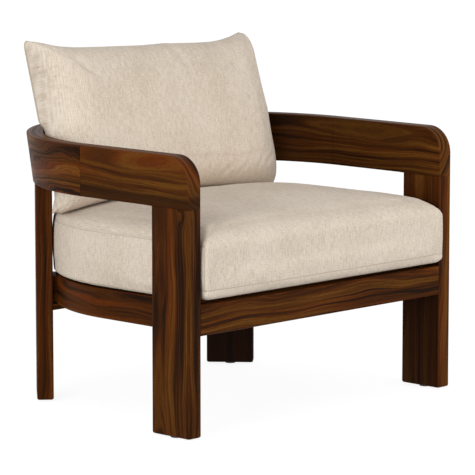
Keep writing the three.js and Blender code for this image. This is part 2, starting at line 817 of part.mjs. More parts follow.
function buildCushions() {
  const seat = seatCushion();
  addPiece(cushionGroup, 'seat_cushion', seat, 'linen');
  addPiece(cushionGroup, 'back_cushion', backCushion(seat), 'linen');
  addPiece(cushionGroup, 'seat_zip_tape', zipTape(), 'zipCloth');
  addPiece(cushionGroup, 'seat_zip_slider', zipSlider(), 'steel');
}

buildBandAndLegs();
buildDowels();
buildSeatFrame();
buildGlides();
buildCushions();

// Puts the origin under the middle of the whole chair.
const bounds = new THREE.Box3().setFromObject(chair);
chair.position.set(0, -(bounds.min.y + bounds.max.y) / 2, 0);
chair.updateMatrixWorld(true);

export default chair;
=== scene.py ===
"""A fireside chair in soft studio light.

The stained hardwood boards, the linen seat cushion and the back pillow are modelled here as fine meshes, around the
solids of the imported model. Lengths are in metres, X runs across the chair, Y from its front to its back and Z up.
"""

import json
import logging
import math
from collections.abc import Sequence
from dataclasses import dataclass, replace
from enum import Enum
from typing import Any

import bpy
import numpy as np
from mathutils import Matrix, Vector
from mathutils.bvhtree import BVHTree

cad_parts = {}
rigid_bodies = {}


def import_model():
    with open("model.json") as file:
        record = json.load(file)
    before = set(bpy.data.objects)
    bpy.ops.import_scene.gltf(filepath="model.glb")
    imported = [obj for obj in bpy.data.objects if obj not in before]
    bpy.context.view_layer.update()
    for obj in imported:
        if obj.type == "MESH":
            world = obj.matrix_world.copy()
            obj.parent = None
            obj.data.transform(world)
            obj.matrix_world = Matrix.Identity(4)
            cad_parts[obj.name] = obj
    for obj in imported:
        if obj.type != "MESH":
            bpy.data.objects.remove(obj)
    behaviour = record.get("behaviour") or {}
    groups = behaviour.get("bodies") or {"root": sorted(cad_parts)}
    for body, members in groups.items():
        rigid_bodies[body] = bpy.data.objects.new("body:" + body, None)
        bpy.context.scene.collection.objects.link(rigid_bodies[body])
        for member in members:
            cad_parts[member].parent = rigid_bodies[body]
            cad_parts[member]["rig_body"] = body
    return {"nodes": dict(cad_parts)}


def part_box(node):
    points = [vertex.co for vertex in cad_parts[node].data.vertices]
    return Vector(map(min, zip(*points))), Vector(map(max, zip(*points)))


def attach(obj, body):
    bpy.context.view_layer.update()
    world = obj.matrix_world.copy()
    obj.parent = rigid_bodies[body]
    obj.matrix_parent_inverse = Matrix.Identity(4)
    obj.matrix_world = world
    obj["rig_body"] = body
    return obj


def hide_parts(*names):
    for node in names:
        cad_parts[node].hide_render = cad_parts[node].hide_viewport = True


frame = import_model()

Socket = bpy.types.NodeSocket
Value = Socket | float  # what a shader takes where it needs a number
Colour = tuple[float, float, float, float]  # linear parts and alpha
Pair = tuple[float, float]
Place = tuple[float, float, float]
Lengths = np.ndarray | float

LOG = logging.getLogger("chair")
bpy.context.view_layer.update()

FRAME_BODY = "timber_frame"
SEAT_BODY = "seat_cushion"
ZIP_BODY = "seat_zip_slider"
PILLOW_BODY = "back_pillow"


class Side(Enum):
    """A side of the chair, with the sign of its X."""

    LEFT = ("left", -1)
    RIGHT = ("right", 1)

    @property
    def label(self) -> str:
        """The word that ends the names of this side's pieces."""
        return self.value[0]

    @property
    def sign(self) -> int:
        """The sign of X on this side."""
        return self.value[1]


class Grain(Enum):
    """Where a wood finish takes its grain from: the mesh's own grain attribute or a straight axis."""

    MESH = "mesh"
    ALONG_X = "x"


def linear(red: float, green: float, blue: float) -> Colour:
    """Turns a colour as seen on a screen into the light values that a shader takes.

    Args:
        red, green, blue: The colour's parts, 0 to 255.

    Returns:
        The same colour as linear parts from 0 to 1, and full alpha.
    """
    parts = [c / 255 for c in (red, green, blue)]
    return (*(c / 12.92 if c <= 0.04045 else ((c + 0.055) / 1.055) ** 2.4 for c in parts), 1.0)


def smoothstep(value: np.ndarray, low: float, high: float) -> np.ndarray:
    """Rises smoothly from 0 at low to 1 at high."""
    share = np.clip((value - low) / (high - low), 0, 1)
    return share * share * (3 - 2 * share)


def soft_least(a: np.ndarray, b: np.ndarray, reach: float) -> np.ndarray:
    """The lesser of two lengths, with a round turn where they come within reach of each other."""
    mix = np.clip(0.5 + 0.5 * (b - a) / reach, 0, 1)
    return b * (1 - mix) + a * mix - reach * mix * (1 - mix)


def waves(points: np.ndarray, lengths: Sequence[float], seed: int) -> np.ndarray:
    """A smooth random field: plane waves of the given lengths, summed.

    Args:
        points: Places, one a row.
        lengths: Wavelengths in metres. Each gives three waves, weaker where it is short.
        seed: Seed of the directions and phases.

    Returns:
        A value of about -1 to 1 for each place.
    """
    rng = np.random.default_rng(seed)
    total = np.zeros(len(points))
    for length in lengths:
        for _ in range(3):
            heading = rng.normal(size=3)
            heading /= np.linalg.norm(heading)
            phase = rng.uniform(0, 2 * math.pi)
            total += (length / lengths[0]) * np.sin(points @ heading * 2 * math.pi / length + phase)
    return total / (1.5 * len(lengths))


class Shader:
    """A node tree of a material or a world, written from its inputs to its surface."""

    def __init__(self, owner: bpy.types.ID) -> None:
        """Starts on an empty tree.

        Args:
            owner: The material or world.
        """
        owner.use_nodes = True
        self.owner = owner
        self.tree = owner.node_tree
        self.tree.nodes.clear()

    def node(self, kind: str, settings: dict[str, Any] | None = None, **inputs: Any) -> bpy.types.Node:
        """Adds a node.

        Args:
            kind: The node's type.
            settings: Its own properties.
            inputs: Values or sockets for its inputs, with a letter before the number for an input taken by place.

        Returns:
            The node.
        """
        made = self.tree.nodes.new(kind)
        for key, value in (settings or {}).items():
            setattr(made, key, value)
        for key, value in inputs.items():
            socket = made.inputs[int(key[1:])] if key[1:].isdigit() else made.inputs[key.replace("_", " ")]
            if isinstance(value, Socket):
                self.tree.links.new(value, socket)
            else:
                socket.default_value = value
        return made

    def math(self, operation: str, a: Value, b: Value = 0.0, c: Value = 0.0) -> Socket:
        """Adds a sum on numbers and returns its result."""
        return self.node("ShaderNodeMath", {"operation": operation}, i0=a, i1=b, i2=c).outputs[0]

    def blend(self, share: Value, a: Socket | Colour, b: Socket | Colour) -> Socket:
        """Mixes two colours by a share and returns the result."""
        return self.node("ShaderNodeMixRGB", i0=share, i1=a, i2=b).outputs[0]

    def combine(self, x: Value, y: Value, z: Value) -> Socket:
        """Makes a vector of three numbers."""
        return self.node("ShaderNodeCombineXYZ", i0=x, i1=y, i2=z).outputs[0]

    def distance(self, x: Value, y: Value) -> Socket:
        """The distance of a place from the middle of a plane."""
        made = self.node("ShaderNodeVectorMath", {"operation": "LENGTH"}, i0=self.combine(x, y, 0.0))
        return made.outputs["Value"]

    def noise(
        self, *axes: tuple[Value, float], cut: float = 0.0, detail: float = 2.0, roughness: float = 0.5,
    ) -> Socket:
        """Adds a noise over two or three numbers.

        Args:
            axes: The numbers, each with its scale per metre.
            cut: The place on the third axis, where there are only two numbers.
            detail, roughness: The noise's own.

        Returns:
            Its value.
        """
        parts = [self.math("MULTIPLY", value, scale) for value, scale in axes]
        vector = self.combine(*parts, *([cut] if len(parts) == 2 else []))
        made = self.node("ShaderNodeTexNoise", Vector=vector, Scale=1.0, Detail=detail, Roughness=roughness)
        return made.outputs[0]

    def stretch(self, value: Value, low: float, high: float, to_low: float = 0.0, to_high: float = 1.0) -> Socket:
        """Maps a range of a value to another range, held at its ends."""
        made = self.node("ShaderNodeMapRange", {"clamp": True}, i0=value, i1=low, i2=high, i3=to_low, i4=to_high)
        return made.outputs[0]

    def ramp(self, share: Value, stops: Sequence[tuple[float, Colour]]) -> Socket:
        """Adds a colour ramp.

        Args:
            share: What runs along it.
            stops: Places from 0 to 1 with their colours, in order.

        Returns:
            The colour.
        """
        made = self.node("ShaderNodeValToRGB", i0=share)
        elements = made.color_ramp.elements
        while len(elements) < len(stops):
            elements.new(0.5)
        for element, (place, colour) in zip(elements, stops):
            element.position = place
            element.color = colour
        return made.outputs[0]

    def attribute(self, name: str) -> bpy.types.Node:
        """Adds a node that reads one of the mesh's attributes."""
        return self.node("ShaderNodeAttribute", {"attribute_name": name})

    def finish(self, surface: Socket) -> bpy.types.Material:
        """Joins the surface to the output and returns the material."""
        self.node("ShaderNodeOutputMaterial", Surface=surface)
        return self.owner


@dataclass(frozen=True)
class Fade:
    """How a board's painted shade sets in along one of the chair's axes."""

    axis: int  # 0 for X, 1 for Y and 2 for Z
    clear: float  # where there is least of it
    full: float  # where there is all of it
    least: float  # the least, as a share of all of it


@dataclass(frozen=True)
class StainedWood:
    """Dark stained hardwood with strong streaks, under satin lacquer."""

    name: str
    grain: Grain = Grain.MESH
    dark: Colour = linear(31, 15, 5)
    brown: Colour = linear(74, 38, 10)
    red: Colour = linear(98, 45, 12)
    olive: Colour = linear(95, 58, 17)
    pale: Colour = linear(116, 72, 26)
    bareness: float = 0.0  # share of pale, unstained wood
    pith: Pair = (0.035, -0.06)  # from a board's middle to its tree's heart, across and through
    figure: float = 0.45  # how far its grain wanders, as a share of the next two
    swing: float = 0.055  # of the grain over a board's length
    ripple: float = 0.007  # of the grain over a hand's width
    contrast: float = 1.2  # between its streaks
    depth: float = 0.0  # share of darker colour: a darker stain on some boards, painted shade on others
    fades: tuple[Fade, ...] = ()  # along which the painted shade sets in
    knot: Pair | None = None  # where a knot lies, along and across
    heart_edge: float | None = None  # across the grain, where darker heartwood starts
    line_share: float = 0.32  # share of the fine lines in its tone, beside the broad streaks
    gloss: float = 0.42  # roughness of the lacquer

    def material(self) -> bpy.types.Material:
        """Builds the material.

        Returns:
            The material.
        """
        sheet = Shader(bpy.data.materials.new(self.name))
        along, across, through = self._grain_axes(sheet)
        wide = sheet.noise((along, 2.4), (across, 9.0), (through, 9.0))
        near = sheet.noise((along, 8.0), (across, 26.0), (through, 26.0))
        drift = sheet.math("MULTIPLY", sheet.math("SUBTRACT", wide, 0.5), self.swing * self.figure)
        ripple = sheet.math("MULTIPLY", sheet.math("SUBTRACT", near, 0.5), self.ripple * self.figure)
        wander = sheet.math("ADD", drift, ripple)
        off_knot = None
        if self.knot is not None:
            off_along = sheet.math("MULTIPLY", sheet.math("SUBTRACT", along, self.knot[0]), 0.55)
            off_knot = sheet.distance(off_along, sheet.math("SUBTRACT", across, self.knot[1]))
            wander = sheet.math("ADD", wander, sheet.stretch(off_knot, 0.0, 0.016, 0.006, 0.0))
        from_heart = sheet.distance(
            sheet.math("ADD", sheet.math("SUBTRACT", across, self.pith[0]), wander),
            sheet.math("SUBTRACT", sheet.math("SUBTRACT", through, self.pith[1]), wander),
        )
        streaks = sheet.noise((from_heart, 85.0), (along, 0.9), (through, 2.0), detail=3.0, roughness=0.6)
        lines = sheet.noise((from_heart, 520.0), (along, 4.0), (through, 30.0), roughness=0.6)
        pores = sheet.noise((along, 55.0), (across, 1500.0), (through, 1500.0), detail=1.0)
        tone = sheet.math("MULTIPLY", streaks, 1 - self.line_share)
        tone = sheet.math("MULTIPLY_ADD", lines, self.line_share, tone)
        tone = sheet.math("MULTIPLY_ADD", sheet.math("SUBTRACT", tone, 0.5), self.contrast, 0.5)
        hue = sheet.noise((from_heart, 34.0), (along, 0.7), (across, 11.0))
        warm = sheet.ramp(tone, [(0.33, self.dark), (0.44, self.brown), (0.54, self.red), (0.68, self.pale)])
        cool = sheet.ramp(tone, [(0.35, self.dark), (0.47, self.brown), (0.58, self.olive), (0.7, self.pale)])
        colour = sheet.blend(sheet.stretch(hue, 0.42, 0.58), warm, cool)
        colour = sheet.blend(sheet.stretch(pores, 0.3, 0.5, 0.45, 0.0), colour, self.dark)
        # the rounded edges are painted redder and lighter: a painted highlight along the arrises
        colour = sheet.blend(sheet.math("MULTIPLY", sheet.attribute("edge").outputs["Fac"], 0.35), colour, self.red)
        if self.bareness:
            colour = sheet.blend(self.bareness, colour, self.pale)
        colour = self._stain_and_painted_shade(sheet, colour, (across, wander), off_knot)
        relief = sheet.math("ADD", sheet.stretch(pores, 0.34, 0.5), tone)
        surface = sheet.node(
            "ShaderNodeBsdfPrincipled",
            Base_Color=colour,
            Roughness=sheet.stretch(tone, 0.3, 0.7, self.gloss + 0.05, self.gloss - 0.05),
            Normal=sheet.node("ShaderNodeBump", Strength=0.25, Distance=0.0002, Height=relief).outputs[0],
            Coat_Weight=0.02,
            Coat_Roughness=0.25,
            Specular_IOR_Level=0.022,
        )
        return sheet.finish(surface.outputs[0])

    def _stain_and_painted_shade(
        self, sheet: Shader, colour: Socket, across: tuple[Socket, Socket], off_knot: Socket | None,
    ) -> Socket:
        """Darkens a colour by the heartwood, the knot and the darker share, where the board has them: a darker stain
        on some boards, painted shade on others.

        Args:
            sheet: The material's tree.
            colour: The colour before.
            across: The place across the grain, and how far the grain wanders there.
            off_knot: The distance from the knot, or None.

        Returns:
            The colour after.
        """
        if self.heart_edge is not None:
            side = sheet.math("ADD", across[0], sheet.math("MULTIPLY", across[1], 0.6))
            dark_side = sheet.stretch(side, self.heart_edge - 0.006, self.heart_edge + 0.004, 0.7, 0.0)
            colour = sheet.blend(dark_side, colour, self.dark)
        if off_knot is not None:
            colour = sheet.blend(sheet.stretch(off_knot, 0.0018, 0.0042, 0.85, 0.0), colour, self.dark)
        # the darker share is a stain on the leg wood and painted shade on the other boards; the fades lay the painted
        # shade along the chair's axes
        if self.depth:
            share = self.depth
            for fade in self.fades:
                spot = sheet.node("ShaderNodeTexCoord").outputs["Object"]
                place = sheet.node("ShaderNodeSeparateXYZ", i0=spot).outputs[fade.axis]
                share = sheet.math("MULTIPLY", share, sheet.stretch(place, fade.clear, fade.full, fade.least, 1.0))
            colour = sheet.blend(share, colour, self.dark)
        return colour

    def _grain_axes(self, sheet: Shader) -> tuple[Socket, Socket, Socket]:
        """The places along, across and through the grain.

        Args:
            sheet: The material's tree.

        Returns:
            Three numbers, in metres.
        """
        if self.grain is Grain.MESH:
            spot = sheet.attribute("grain").outputs["Vector"]
        else:
            spot = sheet.node("ShaderNodeTexCoord").outputs["Object"]
        return tuple(sheet.node("ShaderNodeSeparateXYZ", i0=spot).outputs)


@dataclass(frozen=True)
class Linen:
    """Oatmeal linen: a plain weave of uneven threads, with slubs and darker flecks."""

    name: str = "oatmeal_linen"
    ground: Colour = linear(219, 204, 186)
    shade: Colour = linear(204, 188, 170)
    light: Colour = linear(228, 216, 201)
    fleck: Colour = linear(158, 137, 116)
    thread: float = 0.0011  # from one thread to the next
    rib: float = 0.0046  # from one heavier warp thread to the next

    def material(self) -> bpy.types.Material:
        """Builds the material.

        Returns:
            The material.
        """
        sheet = Shader(bpy.data.materials.new(self.name))
        across, along, _ = sheet.node("ShaderNodeSeparateXYZ", i0=sheet.attribute("weave").outputs["Vector"]).outputs
        warp_slub = sheet.noise((across, 420.0), (along, 60.0), cut=420.0)
        weft_slub = sheet.noise((along, 460.0), (across, 80.0), cut=460.0)
        broad = sheet.noise((across, 150.0), (along, 26.0), cut=150.0)
        cloud = sheet.noise((across, 9.0), (along, 6.0), cut=1.0)
        ribs = self._wave(sheet, sheet.math("ADD", across, sheet.math("MULTIPLY", broad, 0.002)), self.rib)
        tone = sheet.math("MULTIPLY_ADD", warp_slub, 0.34, sheet.math("MULTIPLY", weft_slub, 0.26))
        for part, weight in ((broad, 0.14), (cloud, 0.2), (ribs, 0.06)):
            tone = sheet.math("MULTIPLY_ADD", part, weight, tone)
        colour = sheet.ramp(tone, [(0.42, self.shade), (0.5, self.ground), (0.6, self.light)])
        specks = sheet.noise((across, 420.0), (along, 150.0), cut=5.0, detail=1.0)
        colour = sheet.blend(sheet.stretch(specks, 0.66, 0.78, 0.0, 0.55), colour, self.fleck)
        threads = [self._wave(sheet, axis, 2 * self.thread) for axis in (across, along)]
        slubs = sheet.math("ADD", warp_slub, weft_slub)
        height = sheet.math("MULTIPLY_ADD", sheet.math("MULTIPLY", *threads), 0.5, slubs)
        height = sheet.math("MULTIPLY_ADD", ribs, 0.35, height)
        surface = sheet.node(
            "ShaderNodeBsdfPrincipled",
            Base_Color=colour,
            Normal=sheet.node("ShaderNodeBump", Strength=0.55, Distance=0.0006, Height=height).outputs[0],
            Roughness=0.92,
            Sheen_Weight=0.12,
            Sheen_Roughness=0.5,
            Specular_IOR_Level=0.2,
        )
        return sheet.finish(surface.outputs[0])

    @staticmethod
    def _wave(sheet: Shader, value: Socket, length: float) -> Socket:
        """A wave from 0 to 1 of that length."""
        angle = sheet.math("MULTIPLY", value, 2 * math.pi / length)
        return sheet.math("MULTIPLY_ADD", sheet.math("SINE", angle), 0.5, 0.5)


@dataclass(frozen=True)
class PlainFinish:
    """Zinc plated steel, moulded nylon, zip cloth or sewing thread: one tone with fine unevenness."""

    name: str
    tone: Colour
    roughness: float
    metal: float = 0.0
    scale: float = 900.0  # of the unevenness, per metre

    def material(self) -> bpy.types.Material:
        """Builds the material.

        Returns:
            The material.
        """
        sheet = Shader(bpy.data.materials.new(self.name))
        place = sheet.node("ShaderNodeTexCoord").outputs["Object"]
        grain = sheet.node("ShaderNodeTexNoise", Vector=place, Scale=self.scale, Detail=3.0).outputs[0]
        darker = tuple(0.75 * part for part in self.tone[:3]) + (1.0,)
        surface = sheet.node(
            "ShaderNodeBsdfPrincipled",
            Base_Color=sheet.blend(sheet.stretch(grain, 0.35, 0.65), darker, self.tone),
            Roughness=sheet.stretch(grain, 0.3, 0.7, self.roughness - 0.08, self.roughness + 0.08),
            Normal=sheet.node("ShaderNodeBump", Strength=0.2, Distance=0.0002, Height=grain).outputs[0],
            Metallic=self.metal,
        )
        return sheet.finish(surface.outputs[0])


def timber_offset(seed: int) -> np.ndarray:
    """Where a board was cut from its tree, as shifts along, across and through the grain."""
    return np.random.default_rng(seed).uniform(-1, 1, 3) * [20.0, 0.012, 0.012]


def add_piece(
    name: str, points: np.ndarray, faces: Sequence[Sequence[int]], finish: bpy.types.Material,
) -> bpy.types.Object:
    """Makes a mesh object.

    Args:
        name: The piece's name.
        points: Its corners, one a row.
        faces: Its faces, as rows of corner numbers.
        finish: Its material.

    Returns:
        The object.
    """
    mesh = bpy.data.meshes.new(name)
    mesh.from_pydata(points.tolist(), [], [list(face) for face in faces])
    mesh.materials.append(finish)
    mesh.shade_smooth()
    piece = bpy.data.objects.new(name, mesh)
    bpy.context.scene.collection.objects.link(piece)
    return piece


def add_vectors(piece: bpy.types.Object, name: str, values: np.ndarray) -> None:
    """Stores a vector for each corner of a piece."""
    layer = piece.data.attributes.new(name, "FLOAT_VECTOR", "POINT")
    layer.data.foreach_set("vector", values.astype(np.float32).ravel())


def add_numbers(piece: bpy.types.Object, name: str, values: np.ndarray) -> None:
    """Stores a number for each corner of a piece."""
    layer = piece.data.attributes.new(name, "FLOAT", "POINT")
    layer.data.foreach_set("value", values.astype(np.float32).ravel())


def read_vectors(elements: bpy.types.bpy_prop_collection, key: str) -> np.ndarray:
    """Reads a vector of each of a mesh's elements.

    Args:
        elements: The elements.
        key: What the vector is called there.

    Returns:
        The vectors, one a row.
    """
    values = np.zeros(len(elements) * 3, np.float32)
    elements.foreach_get(key, values)
    return values.reshape(-1, 3).astype(float)


def corners_of(piece: bpy.types.Object) -> np.ndarray:
    """The corners of a piece's own mesh, one a row."""
    return read_vectors(piece.data.vertices, "co")


def set_corners(piece: bpy.types.Object, points: np.ndarray) -> None:
    """Moves the corners of a piece's own mesh."""
    piece.data.vertices.foreach_set("co", points.astype(np.float32).ravel())
    piece.data.update()


def normals_of(piece: bpy.types.Object) -> np.ndarray:
    """The directions in which a piece's corners face."""
    return read_vectors(piece.data.vertex_normals, "vector")


def surface_of(piece: bpy.types.Object) -> BVHTree:
    """A piece's surface, on which places can be found."""
    mesh = piece.data
    return BVHTree.FromPolygons([v.co for v in mesh.vertices], [tuple(p.vertices) for p in mesh.polygons])


def skin(rings: int, around: int) -> list[list[int]]:
    """The faces of a closed form drawn as rings of corners.

    Args:
        rings: How many rings it has.
        around: How many corners each has.

    Returns:
        Its sides from ring to ring, then its two ends, as rows of corner numbers.
    """
    here = np.arange(rings * around).reshape(rings, around)
    ahead = np.roll(here, -1, axis=1)
    sides = np.stack([here[:-1], ahead[:-1], ahead[1:], here[1:]], axis=-1).reshape(-1, 4)
    return [*sides.tolist(), here[0][::-1].tolist(), here[-1].tolist()]


@dataclass(frozen=True)
class FrameLines:
    """The lines of the timber frame that its boards share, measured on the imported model."""

    front: float
    outer: float
    inner: float
    band_bottom: float
    arm_height: float
    arm_end: float
    bend: float  # Y of the bend's centre at the band's lower edge
    rake: float  # how far the band leans back over its height
    ring_bottom: float
    ring_top: float
    ring_outer: float
    ring_inner: float
    rear_turn: float  # turn round the bend, from +X, of the right rear leg

    @classmethod
    def measured(
        cls, straight_length: float = 0.307, rake: float = 0.021, ring_thickness: float = 0.026,
        rear_leg_degrees: float = 41.3,
    ) -> "FrameLines":
        """Reads the lines from the CAD nodes.

        Args:
            straight_length: From the chair's front to where the bend starts.
            rake: How far the band leans back over its height.
            ring_thickness: Thickness of the bent seat rails.
            rear_leg_degrees: Turn of the right rear leg round the bend.

        Returns:
            The lines.
        """
        low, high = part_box("arm_rail_right")
        ring_low, ring_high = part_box("seat_side_rail_right")
        return cls(
            front=low.y, outer=high.x, inner=low.x, band_bottom=low.z, arm_height=high.z, arm_end=high.y,
            bend=low.y + straight_length, rake=rake, ring_bottom=ring_low.z, ring_top=ring_high.z,
            ring_outer=ring_high.x, ring_inner=ring_high.x - ring_thickness,
            rear_turn=math.radians(rear_leg_degrees),
        )

    @property
    def band(self) -> tuple[Pair, Pair]:
        """The band's section: the radius and height of its two ends."""
        return (self.inner, self.band_bottom), (self.outer, self.arm_height)

    @property
    def ring(self) -> tuple[Pair, Pair]:
        """The seat ring's section: the radius and height of its two ends."""
        return (self.ring_inner, self.ring_bottom), (self.ring_outer, self.ring_top)

    def centre(self, z: np.ndarray) -> np.ndarray:
        """Y of the raked band's bend centre at a height."""
        return self.bend + self.rake * (z - self.band_bottom) / (self.arm_height - self.band_bottom)


@dataclass
class Board:
    """A board drawn as rings of corners, with its grain and its rounded edges."""

    rings: np.ndarray  # places: rings, corners of a ring, three
    grain: np.ndarray  # along, across and through the grain, in the same order
    edge: np.ndarray  # 1 on the rounded edges and 0 on the faces, where the painted highlight lies

    @classmethod
    def stacked(cls, rings: Sequence[np.ndarray], grain: Sequence[np.ndarray], edge: Sequence[np.ndarray]) -> "Board":
        """A board from separate rings."""
        return cls(np.stack(rings), np.stack(grain), np.stack(edge))

    def piece(self, name: str, finish: bpy.types.Material, sign: int, seed: int, *replaced: str) -> bpy.types.Object:
        """Makes the board, or its mirror image, with closed ends.

        Args:
            name: The piece's name.
            finish: Its material.
            sign: 1 on the right and -1 for its mirror image on the left.
            seed: Sets which part of the timber it is cut from.
            replaced: CAD nodes that it stands for.

        Returns:
            The object, on its body.
        """
        points = self.rings.reshape(-1, 3) * [sign, 1, 1]
        faces = skin(*self.rings.shape[:2])
        if self._faces_in(points, faces):
            faces = [face[::-1] for face in faces]
        made = add_piece(name, points, faces, finish)
        add_vectors(made, "grain", self.grain.reshape(-1, 3) + timber_offset(seed))
        add_numbers(made, "edge", self.edge)
        made.data.set_sharp_from_angle(angle=math.radians(50))
        steady = made.modifiers.new("even_faces", "WEIGHTED_NORMAL")
        steady.keep_sharp = True
        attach(made, FRAME_BODY)
        if replaced:
            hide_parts(*replaced)
        return made

    @staticmethod
    def _faces_in(points: np.ndarray, faces: list[list[int]]) -> bool:
        """Whether a board's faces look inwards.

        Args:
            points: Its corners, one a row.
            faces: Its faces, of which those with four corners are counted.

        Returns:
            True where they do.
        """
        middle = points.mean(axis=0)
        total = 0.0
        for face in faces:
            if len(face) == 4:
                a, b, c = (points[number] - middle for number in face[:3])
                total += float(np.dot(a, np.cross(b, c)))
        return total < 0


def rounded_section(low: Pair, high: Pair, radius: float, steps: int = 4) -> tuple[np.ndarray, np.ndarray]:
    """The corners of a rectangle with rounded corners.

    Args:
        low, high: Its two ends, each as two coordinates.
        radius: Of its rounded corners.
        steps: Flats on each rounded corner.

    Returns:
        The corners, one a row, and 1 for each within a rounded corner and 0 for each at its ends.
    """
    angles = np.linspace(0, math.pi / 2, steps + 1)
    centres = [
        (high[0] - radius, high[1] - radius), (low[0] + radius, high[1] - radius),
        (low[0] + radius, low[1] + radius), (high[0] - radius, low[1] + radius),
    ]
    points, edge = [], []
    for turn, (a, b) in enumerate(centres):
        for angle in angles:
            full = angle + turn * math.pi / 2
            points.append((a + radius * math.cos(full), b + radius * math.sin(full)))
            edge.append(math.sin(2 * angle))
    return np.array(points), np.array(edge)


